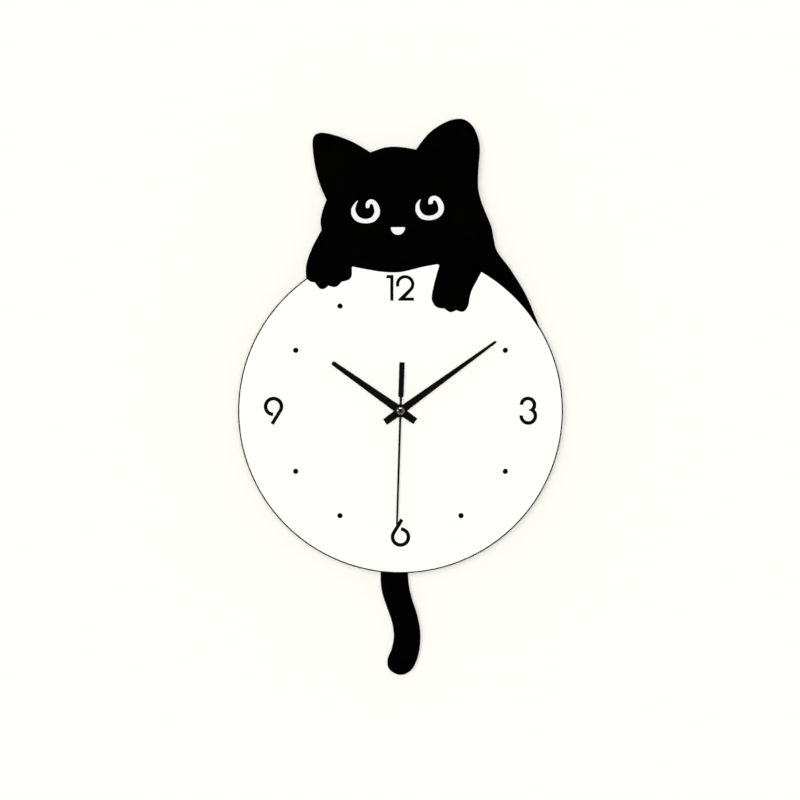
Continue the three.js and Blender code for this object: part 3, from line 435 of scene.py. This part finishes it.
def extra(name, mesh, body, slot):
    """Puts a new mesh in the scene as a piece on a body, with a slot's finish."""
    piece = bpy.data.objects.new(name, mesh)
    bpy.context.collection.objects.link(piece)
    mesh.materials.clear()
    mesh.materials.append(LOOKS[slot].material)
    shade(mesh)
    piece.modifiers.new("even", "WEIGHTED_NORMAL").keep_sharp = True
    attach(piece, body)
    return piece


def finished(name, mesh, node):
    """The same for a piece that stands for a CAD node."""
    piece = extra(name, mesh, BODY_OF[node], SLOT_OF[node])
    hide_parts(node)
    STOOD_FOR.add(node)
    return piece


def as_mesh(work, name):
    """The working mesh as an ordinary one."""
    mesh = bpy.data.meshes.new(name)
    work.to_mesh(mesh)
    work.free()
    return mesh


def as_closed_mesh(work, name):
    """The same, with every face turned outward first."""
    bmesh.ops.recalc_face_normals(work, faces=work.faces)
    return as_mesh(work, name)


def bridge(work, ring, after):
    """Faces from one ring of vertices to the next. One of the two may be a single point."""
    count = max(len(ring), len(after))
    for i in range(count):
        j = (i + 1) % count
        corners = [
            ring[i % len(ring)], ring[j % len(ring)],
            after[j % len(after)], after[i % len(after)],
        ]
        work.faces.new(list(dict.fromkeys(corners)))


def inset(loop, distance):
    """The loop moved distance to its left, which is into the material."""
    least_reach = 0.45  # so that a sharp corner doesn't run far out
    moved = []
    for before, here, after in corners_of(loop):
        one = (here - before).normalized()
        two = (after - here).normalized()
        across = Vector((-one.y - two.y, one.x + two.x))
        reach = max(across.length / 2, least_reach)
        moved.append(here + across.normalized() * distance / reach)
    return moved


def profiled_plate(loops, profile):
    """A plate with its edges shaped by (inset, y) steps from the back to the front."""
    work = bmesh.new()
    ends = {0: [], len(profile) - 1: []}
    outer = max(loops, key=lambda loop: abs(signed_area(loop)))
    for loop in loops:
        runs_left = signed_area(loop) > 0
        if runs_left != (loop is outer):
            loop = loop[::-1]
        rings = []
        for step, (distance, y) in enumerate(profile):
            ring = [work.verts.new((p.x, y, p.y)) for p in inset(loop, distance)]
            edges = [work.edges.new(pair) for pair in zip(ring, ring[1:] + ring[:1])]
            if step in ends:
                ends[step] += edges
            rings.append(ring)
        for ring, after in zip(rings, rings[1:]):
            bridge(work, ring, after)
    for edges in ends.values():
        bmesh.ops.triangle_fill(work, edges=edges, use_beauty=True)
    return as_closed_mesh(work, "plate")


def rounded_edge(back, front, radius, steps=CURVE_STEPS):
    """(inset, y) steps for a plate with both edges rounded."""
    quarter = [math.radians(90 * i / steps) for i in range(steps + 1)]
    rear = [(radius * (1 - math.sin(a)), back - radius * (1 - math.cos(a))) for a in quarter]
    face = [(radius * (1 - math.cos(a)), front + radius * (1 - math.sin(a))) for a in quarter]
    return rear + face


def held_in(loop, low, high):
    """The loop with no point outside the box from low to high."""
    return [
        Vector((min(max(p.x, low[0]), high[0]), min(max(p.y, low[2]), high[2]))) for p in loop
    ]


def plate_piece(name, node, radius_mm, corner_mm=0.0):
    """A finer copy of a flat CAD plate with rounded edges, and rounded corners where asked for."""
    low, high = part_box(node)
    loops = front_loops(node)
    if corner_mm:
        loops = [round_corners(loop, corner_mm * MM) for loop in loops]
    loops = [held_in(smooth_loop(loop), low, high) for loop in loops]
    mesh = profiled_plate(loops, rounded_edge(high[1], low[1], radius_mm * MM))
    finished(name, mesh, node)


# Which two coordinates run across each axis, and which runs along it.
ACROSS_AND_ALONG = {"X": (1, 2, 0), "Y": (2, 0, 1), "Z": (0, 1, 2)}


def beside(centre, axis, a, b, place):
    """The point a and b away from an axis through centre, at a place along that axis."""
    one, two, along = ACROSS_AND_ALONG[axis]
    point = [0, 0, 0]
    point[one] = centre[one] + a
    point[two] = centre[two] + b
    point[along] = place
    return point


def revolve(profile, centre, axis="Y", closed=False, segments=96):
    """A solid of revolution about an axis through centre, from (radius, place along the axis)."""
    work = bmesh.new()
    rings = []
    for radius, place in profile:
        ring = []
        for i in range(segments if radius > 0 else 1):
            angle = 2 * math.pi * i / segments
            a, b = radius * math.cos(angle), radius * math.sin(angle)
            ring.append(work.verts.new(beside(centre, axis, a, b, place)))
        rings.append(ring)
    following = rings[1:] + rings[:1] if closed else rings[1:]
    for ring, after in zip(rings, following):
        bridge(work, ring, after)
    return as_closed_mesh(work, "turned")


def half_section(node, axis):
    """The half section of a turned CAD node as (radius, along) points, and whether it is a ring."""
    same_bearing = 0.02  # radians
    one, two, along = ACROSS_AND_ALONG[axis]
    centre = middle(node)
    work = bmesh.new()
    work.from_mesh(nodes[node].data)
    bmesh.ops.remove_doubles(work, verts=work.verts, dist=WELD)

    def reach(vertex):
        return math.hypot(vertex.co[one] - centre[one], vertex.co[two] - centre[two])

    def bearing(vertex):
        return math.atan2(vertex.co[two] - centre[two], vertex.co[one] - centre[one])

    on_axis = {v for v in work.verts if reach(v) < LEVEL}
    widest = max(work.verts, key=reach)
    towards = bearing(widest)
    line = {v for v in work.verts if v in on_axis or abs(bearing(v) - towards) < same_bearing}
    neighbours = {v: [] for v in line}
    for edge in work.edges:
        a, b = edge.verts
        if a in line and b in line and not (a in on_axis and b in on_axis):
            neighbours[a].append(b)
            neighbours[b].append(a)
    ends = [v for v in line if len(neighbours[v]) == 1]
    here = min(ends, key=lambda v: v.co[along]) if ends else widest
    points = []
    while here:
        line.discard(here)
        points.append((0 if here in on_axis else reach(here), here.co[along]))
        here = next((v for v in neighbours[here] if v in line), None)
    work.free()
    return points, not ends


def softened(profile, radius, closed=False):
    """The profile with each corner rounded off."""
    most = 0.4  # share of a side that one corner may take up
    points = [Vector(point) for point in profile]
    count = len(points)
    soft = []
    for i, here in enumerate(points):
        if not closed and i in (0, count - 1):
            soft.append(here)
            continue
        back, onward = points[i - 1] - here, points[(i + 1) % count] - here
        enter = here + back.normalized() * min(radius, most * back.length)
        leave = here + onward.normalized() * min(radius, most * onward.length)
        soft += [enter, 0.25 * enter + 0.5 * here + 0.25 * leave, leave]
    return [(max(reach, 0), place) for reach, place in soft]


def turned_piece(name, node, edge_mm, axis="Y", segments=96):
    """A truly round version of a turned CAD node, with its edges broken."""
    profile, closed = half_section(node, axis)
    soft = softened(profile, edge_mm * MM, closed)
    return finished(name, revolve(soft, middle(node), axis, closed, segments), node)


def joined(*meshes):
    """One mesh from several."""
    work = bmesh.new()
    for mesh in meshes:
        work.from_mesh(mesh)
    return as_mesh(work, "joined")


def bar(low, high, edge):
    """A box between two corners with its edges rounded."""
    work = bmesh.new()
    bmesh.ops.create_cube(work, size=1)
    size = Vector(high) - Vector(low)
    place = (Vector(high) + Vector(low)) / 2
    for vertex in work.verts:
        vertex.co = Vector(a * b for a, b in zip(vertex.co, size)) + place
    bmesh.ops.bevel(work, geom=work.edges, offset=edge, segments=3, affect="EDGES", profile=0.5)
    return as_mesh(work, "bar")


def tube(points, radius):
    """A round wire along a list of points, with closed ends."""
    sides = 12
    angles = [2 * math.pi * k / sides for k in range(sides)]
    work = bmesh.new()
    rings = []
    normal = None
    for i, here in enumerate(points):
        ahead = points[min(i + 1, len(points) - 1)] - points[max(i - 1, 0)]
        ahead.normalize()
        if normal is None:
            normal = ahead.orthogonal().normalized()
        normal = (normal - ahead * normal.dot(ahead)).normalized()
        side = ahead.cross(normal)
        spokes = [normal * math.cos(a) + side * math.sin(a) for a in angles]
        rings.append([work.verts.new(here + radius * spoke) for spoke in spokes])
    for ring, after in zip(rings, rings[1:]):
        bridge(work, ring, after)
    work.faces.new(rings[0])
    work.faces.new(rings[-1])
    return as_closed_mesh(work, "tube")


# ------------------------------------------------------------------ front of the clock


def cat_and_dial():
    plate_piece("black_sheet", "dial_panel", 0.3)
    plate_piece("dial_facing", "dial_face", 0.08)
    for side in ("left", "right"):
        plate_piece(f"eye_inlay_{side}", f"eye_{side}", 0.12, corner_mm=1.2)
    plate_piece("mouth_inlay", "mouth", 0.12, corner_mm=0.6)


def dial_print():
    for node in nodes:
        if node.startswith(("numeral_", "hour_dot_")):
            plate_piece(f"print_{node}", node, 0.06)


def collet(node, depth):
    """The short collar behind a hand that grips its pipe."""
    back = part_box(node)[1][1]
    front = back - depth
    reaches = [
        math.hypot(v.co.x - ARBOR.x, v.co.z - ARBOR.z)
        for v in nodes[node].data.vertices if v.co.y > back - LEVEL
    ]
    bore, rim = min(reaches), max(reaches)
    ring = [(bore, front), (rim, front), (rim, back), (bore, back)]
    return revolve(softened(ring, 0.12 * MM, closed=True), ARBOR, closed=True)


def pressed_hand(name, node, collar_mm, slope_mm):
    """A stamped hand: rounded edges that slope up to a raised flat along its middle."""
    low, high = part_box(node)
    front = low[1]
    back = high[1] - collar_mm * MM
    slope = slope_mm * MM
    edge = 0.06 * MM
    side_ends = front + 0.2 * MM
    slope_starts = (0.05 * MM, front + 0.14 * MM)
    slope_ends = (slope, front + 0.02 * MM)
    flat_starts = (slope + 0.08 * MM, front)
    profile = [
        (edge, back), (0, back - edge), (0, side_ends), slope_starts, slope_ends, flat_starts,
    ]
    blade = profiled_plate([smooth_loop(loop) for loop in front_loops(node)], profile)
    finished(name, joined(blade, collet(node, collar_mm * MM)), node)


def hands():
    pressed_hand("hour_blade", "hour_hand", 1.0, 0.6)
    pressed_hand("minute_blade", "minute_hand", 1.0, 0.5)
    pressed_hand("second_needle", "second_hand", 0.9, 0.18)
    turned_piece("second_cap", "second_hand_boss", edge_mm=0.7)


def tail_swing():
    plate_piece("tail_sheet", "tail", 0.3)
    plate_piece("tail_strip", "pendulum_rod", 0.2)
    for number in (1, 2):
        turned_piece(f"tail_rivet_head_{number}", f"tail_rivet_{number}", edge_mm=0.25)
    turned_piece("swing_magnet", "pendulum_magnet", edge_mm=0.25)


# ------------------------------------------------------------------ back of the clock


def cross_prism(place, axis, size, depth):
    """A cross-shaped prism, depth each way from place along the axis."""
    middle_place = place[ACROSS_AND_ALONG[axis][2]]
    arm, half = size / 2, size / 9
    corners = []
    for turn in range(4):
        cos, sin = math.cos(turn * math.pi / 2), math.sin(turn * math.pi / 2)
        for a, b in ((arm, -half), (arm, half), (half, half)):
            corners.append((a * cos - b * sin, a * sin + b * cos))
    work = bmesh.new()
    rings = []
    for end in (middle_place - depth, middle_place + depth):
        ring = [work.verts.new(beside(place, axis, a, b, end)) for a, b in corners]
        work.faces.new(ring)
        rings.append(ring)
    bridge(work, *rings)
    return as_closed_mesh(work, "cross")


def cross_recess(piece, place, axis, size_mm, depth_mm):
    """Cuts a cross into a screw head whose face is at place."""
    tool = bpy.data.objects.new("cutter", cross_prism(place, axis, size_mm * MM, depth_mm * MM))
    bpy.context.collection.objects.link(tool)
    cut = piece.modifiers.new("cross", "BOOLEAN")
    cut.operation = "DIFFERENCE"
    cut.object = tool
    bpy.context.view_layer.update()
    evaluated = piece.evaluated_get(bpy.context.evaluated_depsgraph_get())
    carved = bpy.data.meshes.new_from_object(evaluated)
    piece.modifiers.remove(cut)
    piece.data = carved
    shade(carved)
    bpy.data.objects.remove(tool)


SCREW_SIDES = 60  # not a multiple of eight, so that no side meets a corner of the cross


def crossed_screw(name, node, axis):
    """A screw with a rounded head and a cross cut into it."""
    piece = turned_piece(name, node, edge_mm=0.2, axis=axis, segments=SCREW_SIDES)
    along = ACROSS_AND_ALONG[axis][2]
    face = middle(node)
    face[along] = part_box(node)[1][along]
    cross_recess(piece, face, axis, size_mm=2.2, depth_mm=0.6)


def screws():
    for number in (1, 2):
        crossed_screw(f"cover_screw_head_{number}", f"cover_screw_{number}", "Y")
        crossed_screw(f"hanger_screw_head_{number}", f"hanger_screw_{number}", "Z")


def wound(profile, rows_per_mm, depth_mm):
    """A closed profile with its surface rippled by rows of wire."""
    steps_per_row = 4
    wavy = []
    for start, end in zip(profile, profile[1:] + profile[:1]):
        start, end = Vector(start), Vector(end)
        length = (end - start).length
        rows = max(2, round(length / MM * rows_per_mm))
        outward = Vector((end.y - start.y, start.x - end.x)).normalized()
        for step in range(rows * steps_per_row):
            share = step / (rows * steps_per_row)
            lift = depth_mm * MM * (abs(math.sin(math.pi * rows * share)) - 1)
            wavy.append(tuple(start.lerp(end, share) + outward * lift))
    return wavy


def swing_coil():
    """The pendulum coil: enamelled wire wound on itself, seen edge on as fine rows."""
    node = "pendulum_coil"
    profile, _ = half_section(node, "Y")
    if signed_area([Vector(point) for point in profile]) < 0:
        profile = profile[::-1]
    winding = wound(profile, rows_per_mm=2.2, depth_mm=0.09)
    finished("swing_winding", revolve(winding, middle(node), closed=True), node)


SLEEVE_THICKNESS = 0.25 * MM
CELL_SIDES = 128


def cell_sizes():
    """The cell's middle and radius, its left end and the shoulder under its nub."""
    nub_length = 1.2 * MM
    low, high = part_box("battery")
    return middle("battery"), (high[2] - low[2]) / 2, low[0], high[0] - nub_length


def shrink_sleeve():
    """The cell's sleeve, which turns in over both ends of the can."""
    centre, radius, left, shoulder = cell_sizes()
    inner = radius - SLEEVE_THICKNESS
    lip = radius - 1.3 * MM
    section = [
        (lip, left + SLEEVE_THICKNESS), (lip, left), (radius, left), (radius, shoulder),
        (lip, shoulder), (lip, shoulder - SLEEVE_THICKNESS),
        (inner, shoulder - SLEEVE_THICKNESS), (inner, left + SLEEVE_THICKNESS),
    ]
    soft = softened(section, 0.5 * MM, closed=True)
    mesh = revolve(soft, centre, "X", closed=True, segments=CELL_SIDES)
    finished("cell_sleeve", mesh, "battery")


def steel_can():
    """The can in the sleeve, with a dished base and the nub of the positive end."""
    centre, radius, left, shoulder = cell_sizes()
    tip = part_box("battery")[1][0]
    dish_floor = left + 0.5 * MM
    dish = radius - 3 * MM
    dish_rim = radius - 2.6 * MM
    wall = radius - SLEEVE_THICKNESS
    top = shoulder - 0.3 * MM
    nub = 2.7 * MM
    nub_foot = nub + 0.8 * MM
    section = [
        (0, dish_floor), (dish, dish_floor), (dish_rim, left + 0.1 * MM), (wall, left + 0.2 * MM),
        (wall, top), (nub_foot, top), (nub, shoulder), (nub, tip), (0, tip),
    ]
    extra("cell_can", revolve(softened(section, 0.3 * MM), centre, "X"), "battery_body", "steel")


def cell_band():
    """A pale band round the sleeve at the positive end."""
    centre, radius, _, shoulder = cell_sizes()
    inner = radius - SLEEVE_THICKNESS
    outer = radius + 0.02 * MM
    near = shoulder - 3 * MM
    far = shoulder - 9 * MM
    section = [(inner, far), (outer, far), (outer, near), (inner, near)]
    mesh = revolve(section, centre, "X", closed=True, segments=CELL_SIDES)
    extra("cell_band", mesh, "battery_body", "white_print")


def sleeve_patch(x, along, around):
    """A thin raised patch that follows the back of the cell's sleeve."""
    centre, radius, _, _ = cell_sizes()
    steps = 8
    layers = []
    work = bmesh.new()
    for reach in (radius - 0.1 * MM, radius + 0.05 * MM):
        grid = []
        for i in range(steps + 1):
            angle = (i / steps - 0.5) * around / radius
            y = centre.y + reach * math.cos(angle)
            z = centre.z + reach * math.sin(angle)
            grid.append([work.verts.new((x + side * along / 2, y, z)) for side in (-1, 1)])
        layers.append(grid)
    under, over = layers
    for i in range(steps):
        for grid in layers:
            work.faces.new((grid[i][0], grid[i][1], grid[i + 1][1], grid[i + 1][0]))
        for side in (0, 1):
            work.faces.new((under[i][side], under[i + 1][side], over[i + 1][side], over[i][side]))
    for i in (0, steps):
        work.faces.new((under[i][0], under[i][1], over[i][1], over[i][0]))
    return as_closed_mesh(work, "patch")


def cell_marks():
    """A plus on the band and a minus near the other end."""
    _, _, left, shoulder = cell_sizes()
    from_end = 6 * MM
    length, width = 1.9 * MM, 0.5 * MM
    plus_at = shoulder - from_end
    plus = joined(sleeve_patch(plus_at, length, width), sleeve_patch(plus_at, width, length))
    extra("cell_plus", plus, "battery_body", "black_ink")
    minus = sleeve_patch(left + from_end, width, length)
    extra("cell_minus", minus, "battery_body", "white_print")


def cell():
    """The AA cell."""
    shrink_sleeve()
    steel_can()
    cell_band()
    cell_marks()


def cell_spring():
    """The negative contact: a tapering coil of wire on a bent sheet."""
    node = "contact_spring"
    low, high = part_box(node)
    centre = middle("battery")
    sheet = 0.5 * MM
    wire = 0.33 * MM
    wide, narrow = 4.2 * MM, 2.8 * MM
    turns = 3
    steps = 40 * turns
    start = low[0] + sheet
    length = high[0] - wire - start
    path = []
    for i in range(steps + 1):
        share = i / steps
        angle = 2 * math.pi * turns * share
        reach = wide + (narrow - wide) * share
        y = centre.y + reach * math.cos(angle)
        z = centre.z + reach * math.sin(angle)
        path.append(Vector((start + length * share, y, z)))
    base = bar(low, (start, high[1], high[2]), 0.12 * MM)
    finished("cell_spring_wire", joined(base, tube(path, wire)), node)


def fluted_grip(centre, radius, front, back):
    """A grip with flutes round its rim, and a dished back with a raised middle."""
    flutes = 16
    samples = 12 * flutes
    flute_depth = 0.55 * MM
    dish = back - 0.75 * MM
    button = back - 0.2 * MM
    # (share of the radius, place along the shaft, how much of the flute is left)
    steps = [
        (0, front, 0), (0.93, front, 1), (1, front + 0.35 * MM, 1), (1, back - 0.6 * MM, 1),
        (0.97, button, 1), (0.9, back, 0.8), (0.8, back, 0.2), (0.75, back - 0.15 * MM, 0),
        (0.7, dish, 0), (0.3, dish, 0), (0.24, button, 0), (0, button, 0),
    ]
    work = bmesh.new()
    rings = []
    for share, place, fluting in steps:
        ring = []
        for i in range(samples if share else 1):
            angle = 2 * math.pi * i / samples
            hollow = flute_depth * fluting * (0.5 - 0.5 * math.cos(flutes * angle)) ** 2
            reach = radius * share - hollow
            x = centre.x + reach * math.cos(angle)
            z = centre.z + reach * math.sin(angle)
            ring.append(work.verts.new((x, place, z)))
        rings.append(ring)
    for ring, after in zip(rings, rings[1:]):
        bridge(work, ring, after)
    return as_closed_mesh(work, "grip")


def fluted_knob():
    """The setting knob: a fluted grip on a shaft that ends in a pinion."""
    node = "setting_knob"
    low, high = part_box(node)
    centre = middle(node)
    front, back = low[1], high[1]
    grip_front = back - 4 * MM
    grip = fluted_grip(centre, (high[0] - low[0]) / 2, grip_front, back)
    teeth_end = front + 0.8 * MM
    pinion = profiled_plate(front_loops(node), rounded_edge(teeth_end, front, 0.05 * MM, 2))
    radius = 1.3 * MM
    start, end = teeth_end - 0.1 * MM, grip_front + 0.5 * MM
    section = [(0, start), (radius, start), (radius, end), (0, end)]
    shaft = revolve(softened(section, 0.1 * MM), centre)
    finished("knob_grip", joined(grip, pinion, shaft), node)


def neck_thread():
    """Thread round the neck that the hands' pipes come through."""
    crest = 3.69 * MM
    root = 3.5 * MM
    bore = root - 0.3 * MM
    pitch = 0.75 * MM
    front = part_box("movement_housing")[0][1]
    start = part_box("dial_panel")[1][1]
    turns = int((start - front) / pitch)
    ring = [(bore, start), (root, start)]
    for turn in range(turns):
        place = start - pitch * turn
        ring += [(crest, place - 0.4 * pitch), (crest, place - 0.6 * pitch), (root, place - pitch)]
    ring.append((bore, start - pitch * turns))
    extra("neck_thread", revolve(ring, ARBOR, closed=True), "case", "case_plastic")


def round_fittings():
    turned_piece("washer_under_nut", "dial_washer", edge_mm=0.12)
    turned_piece("washer_behind_dial", "rubber_washer", edge_mm=0.3)
    turned_piece("swing_pin", "pivot_pin", edge_mm=0.15, segments=48)
    turned_piece("swing_pin_clip", "pivot_clip", edge_mm=0.12, segments=64)
    turned_piece("rotor_ring", "rotor_magnet", edge_mm=0.15, segments=64)
    turned_piece("crystal_can", "quartz_crystal", edge_mm=0.2, axis="Z", segments=48)


def dome(at, section_mm, segments=96):
    """A dome that stands at a place on the board, from (radius, height) points, foot first."""
    points = [(0, section_mm[0][1]), *section_mm]
    section = [(radius * MM, at.y + height * MM) for radius, height in points]
    return revolve(section, at, segments=segments)


def driver_resin(low, high):
    """The blob of resin over the driver's chip."""
    at = Vector((low[0] + 5.5 * MM, high[1], high[2] - 5 * MM))
    blob = [(2.6, -0.05), (2.5, 0.35), (1.9, 0.75), (1.0, 0.95), (0, 1.0)]
    extra("driver_resin", dome(at, blob), "case", "rubber_pad")


def chip_resistor(number, left, face, bottom):
    """A chip resistor on the board, with tinned ends that stand a little proud of it."""
    width, height, length = 1.3 * MM, 0.5 * MM, 2 * MM
    proud = 0.02 * MM
    foot = face - 0.02 * MM
    body = bar((left, foot, bottom), (left + width, face + height, bottom + length), 0.08 * MM)
    extra(f"driver_resistor_{number}", body, "case", "case_plastic")
    end_length = 0.4 * MM
    end_top = face + height + 0.03 * MM
    overhang = 0.05 * MM
    ends = []
    for start in (bottom - overhang, bottom + length + overhang - end_length):
        low = (left - proud, foot, start)
        high = (left + width + proud, end_top, start + end_length)
        ends.append(bar(low, high, 0.06 * MM))
    extra(f"driver_resistor_ends_{number}", joined(*ends), "case", "steel")


def driver_solder(low, high):
    """Solder joints where the leads of the coil and of the cell meet the board."""
    joint = [(0.75, -0.02), (0.7, 0.08), (0.35, 0.3), (0.2, 0.55), (0, 0.6)]
    # (x, height over the board's lower edge), in mm
    places = ((-13.5, 8.5), (-10.5, 8.5), (-13.5, 4.5), (13.5, 13), (16.5, 13))
    for number, (x, z) in enumerate(places, 1):
        at = Vector((x * MM, high[1], low[2] + z * MM))
        extra(f"driver_solder_{number}", dome(at, joint, segments=32), "case", "steel")


def driver_parts():
    """Chip under a blob of resin, two chip resistors and solder joints on the pendulum board."""
    low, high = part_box("pendulum_board")
    driver_resin(low, high)
    for number, x in ((1, 12.5), (2, 15.5)):
        chip_resistor(number, x * MM, high[1], high[2] - 6 * MM)
    driver_solder(low, high)


def set_arrow():
    """The raised arrow on the cover that shows which way the knob moves the hands."""
    centre = middle("setting_knob")
    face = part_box("rear_cover")[1][1]
    inner, outer = 7.4 * MM, 8.2 * MM
    first, last = math.radians(20), math.radians(95)
    steps = 16
    head = math.radians(13)
    spread = 0.8 * MM
    proud, sunk = 0.3 * MM, 0.1 * MM

    def at(reach, angle):
        return Vector((centre.x + reach * math.cos(angle), centre.z + reach * math.sin(angle)))

    angles = [first + (last - first) * i / steps for i in range(steps + 1)]
    outline = [at(outer, a) for a in angles]
    outline.append(at(outer + spread, last))
    outline.append(at((inner + outer) / 2, last + head))
    outline.append(at(inner - spread, last))
    outline += [at(inner, a) for a in reversed(angles)]
    mesh = profiled_plate([outline], rounded_edge(face + proud, face - sunk, 0.05 * MM, 2))
    extra("set_arrow", mesh, "case", "case_plastic")


# How far the edges of the CAD nodes that stay are broken, in mm.
EDGE_BREAK = {
    "movement_housing": 0.05, "rear_cover": 0.22, "hanger": 0.18, "arbor_nut": 0.25,
    "pendulum_lever": 0.25, "stator": 0.08, "drive_coil": 0.3, "circuit_board": 0.1,
    "pendulum_board": 0.1, "contact_plate": 0.08,
}
GEAR_EDGE = 0.04  # for the wheels and pinions, and any other node not named above


def carried_over():
    """The CAD nodes that stay: edges broken, shading evened out and the slot's finish put on."""
    for name, node in nodes.items():
        if name in STOOD_FOR:
            continue
        weld = node.modifiers.new("weld", "WELD")
        weld.merge_threshold = WELD
        bevel = node.modifiers.new("edges", "BEVEL")
        bevel.width = EDGE_BREAK.get(name, GEAR_EDGE) * MM
        bevel.segments = 2
        bevel.limit_method = "ANGLE"
        bevel.angle_limit = math.radians(38)
        node.modifiers.new("even", "WEIGHTED_NORMAL")
        node.data.shade_smooth()
        finish = LOOKS[SLOT_OF[name]].material
        for slot in node.material_slots:
            slot.link = "OBJECT"
            slot.material = finish


cat_and_dial()
dial_print()
hands()
tail_swing()
screws()
swing_coil()
cell()
cell_spring()
fluted_knob()
neck_thread()
round_fittings()
driver_parts()
set_arrow()
carried_over()


# ------------------------------------------------------------------ stage, light and camera


def stage_wall():
    """The white wall, which can be looked through from behind so that the back can be seen."""
    mesh = bpy.data.meshes.new("wall")
    half = 2.5
    y = cad_high[1] + 0.5 * MM
    corners = [(-half, y, -half), (half, y, -half), (half, y, half), (-half, y, half)]
    mesh.from_pydata(corners, [], [(0, 1, 2, 3)])
    wall = bpy.data.objects.new("wall", mesh)
    bpy.context.collection.objects.link(wall)
    finish = Finish("wall_paint", (0.965, 0.965, 0.905), roughness=0.9, specular=0.0)
    finish.bump(finish.noise(4, detail=4), depth_mm=0.01, strength=0.1)
    tree = finish.tree
    back = tree.nodes.new("ShaderNodeNewGeometry")
    clear = tree.nodes.new("ShaderNodeBsdfTransparent")
    mix = tree.nodes.new("ShaderNodeMixShader")
    tree.links.new(back.outputs["Backfacing"], mix.inputs[0])
    tree.links.new(finish.shader.outputs[0], mix.inputs[1])
    tree.links.new(clear.outputs[0], mix.inputs[2])
    tree.links.new(mix.outputs[0], tree.nodes["Material Output"].inputs["Surface"])
    mesh.materials.append(finish.material)
    wall.visible_shadow = False


def world_light():
    """A pale studio all round, with a black card behind the camera so that gloss stays black."""
    light_level = 0.22  # what lights the clock and shows in its gloss
    seen_level = 0.86  # what the camera sees past the wall
    card_starts, card_is_full = 0.80, 0.95  # how nearly a direction points to the front
    world = bpy.data.worlds.new("studio")
    bpy.context.scene.world = world
    world.use_nodes = True
    tree = world.node_tree
    background = tree.nodes["Background"]
    direction = tree.nodes.new("ShaderNodeTexCoord").outputs["Generated"]
    towards_front = tree.nodes.new("ShaderNodeVectorMath")
    towards_front.operation = "DOT_PRODUCT"
    towards_front.inputs[1].default_value = (0, -1, 0)
    card = tree.nodes.new("ShaderNodeMapRange")
    card.inputs["From Min"].default_value = card_starts
    card.inputs["From Max"].default_value = card_is_full
    card.inputs["To Min"].default_value = light_level
    card.inputs["To Max"].default_value = 0.0
    seen = tree.nodes.new("ShaderNodeLightPath")
    pick = tree.nodes.new("ShaderNodeMix")
    pick.inputs[3].default_value = seen_level
    tree.links.new(direction, towards_front.inputs[0])
    tree.links.new(towards_front.outputs["Value"], card.inputs["Value"])
    tree.links.new(seen.outputs["Is Camera Ray"], pick.inputs[0])
    tree.links.new(card.outputs["Result"], pick.inputs[2])
    tree.links.new(pick.outputs[0], background.inputs["Strength"])
    background.inputs["Color"].default_value = (1, 1, 0.985, 1)


def lamp(name, kind, where, towards, energy, **values):
    """A light at one place aimed at another. The values are its own further settings."""
    data = bpy.data.lights.new(name, kind)
    data.energy = energy
    for key, value in values.items():
        setattr(data, key, value)
    light = bpy.data.objects.new(name, data)
    light.location = where
    light.rotation_euler = (Vector(towards) - Vector(where)).to_track_quat("-Z", "Y").to_euler()
    bpy.context.collection.objects.link(light)
    return light


def studio_lights():
    """Lights for the front and the back, all aimed at the middle of the dial."""
    face = Vector((0, 0, ARBOR.z))
    # Flat white light that fills the wall and dial, with no shadow and no glint.
    fill_place = (0, -3, face.z)
    fill = lamp("flat_fill", "SUN", fill_place, face, energy=1.05, angle=0.3, use_shadow=False)
    fill.visible_glossy = False
    # Broad soft key a little to the upper left, which throws the faint halo of shadow on the wall.
    key_width = math.radians(25)
    key_place = (-0.12, -3, face.z + 0.07)
    key = lamp("soft_key", "SUN", key_place, face, energy=1.77, angle=key_width)
    key.visible_glossy = False
    # Softboxes that only show as reflections in the hands and the boss.
    for name, where, energy in (
        ("top_glint", (-0.1, -0.9, face.z + 1.3), 11),
        ("left_glint", (-1.5, -0.8, face.z + 0.2), 3),
    ):
        glint = lamp(name, "AREA", where, face, energy, shape="RECTANGLE", size=0.9, size_y=0.35)
        glint.visible_diffuse = False
    # Lights behind the wall for the back of the clock.
    for name, where, energy in (
        ("rear_left", (1.4, 1.8, 0.9), 34),
        ("rear_right", (-1.5, 1.6, 0.4), 26),
        ("rear_low", (0.1, 1.5, -1.4), 14),
    ):
        lamp(name, "AREA", where, face, energy, shape="RECTANGLE", size=1.0, size_y=1.0)


def front_camera():
    """A long lens straight in front, framed a little above the middle of the dial."""
    view_width = 0.7385
    distance = 4.0
    right = -0.46 * MM
    up = 10 * MM
    data = bpy.data.cameras.new("camera")
    data.sensor_width = 36
    data.lens = data.sensor_width * distance / view_width
    camera = bpy.data.objects.new("camera", data)
    dial_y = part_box("dial_face")[0][1]
    camera.location = (right, dial_y - distance, ARBOR.z + up)
    camera.rotation_euler = (math.pi / 2, 0, 0)
    bpy.context.collection.objects.link(camera)
    bpy.context.scene.camera = camera


bpy.context.scene.view_settings.view_transform = "Standard"
stage_wall()
world_light()
studio_lights()
front_camera()
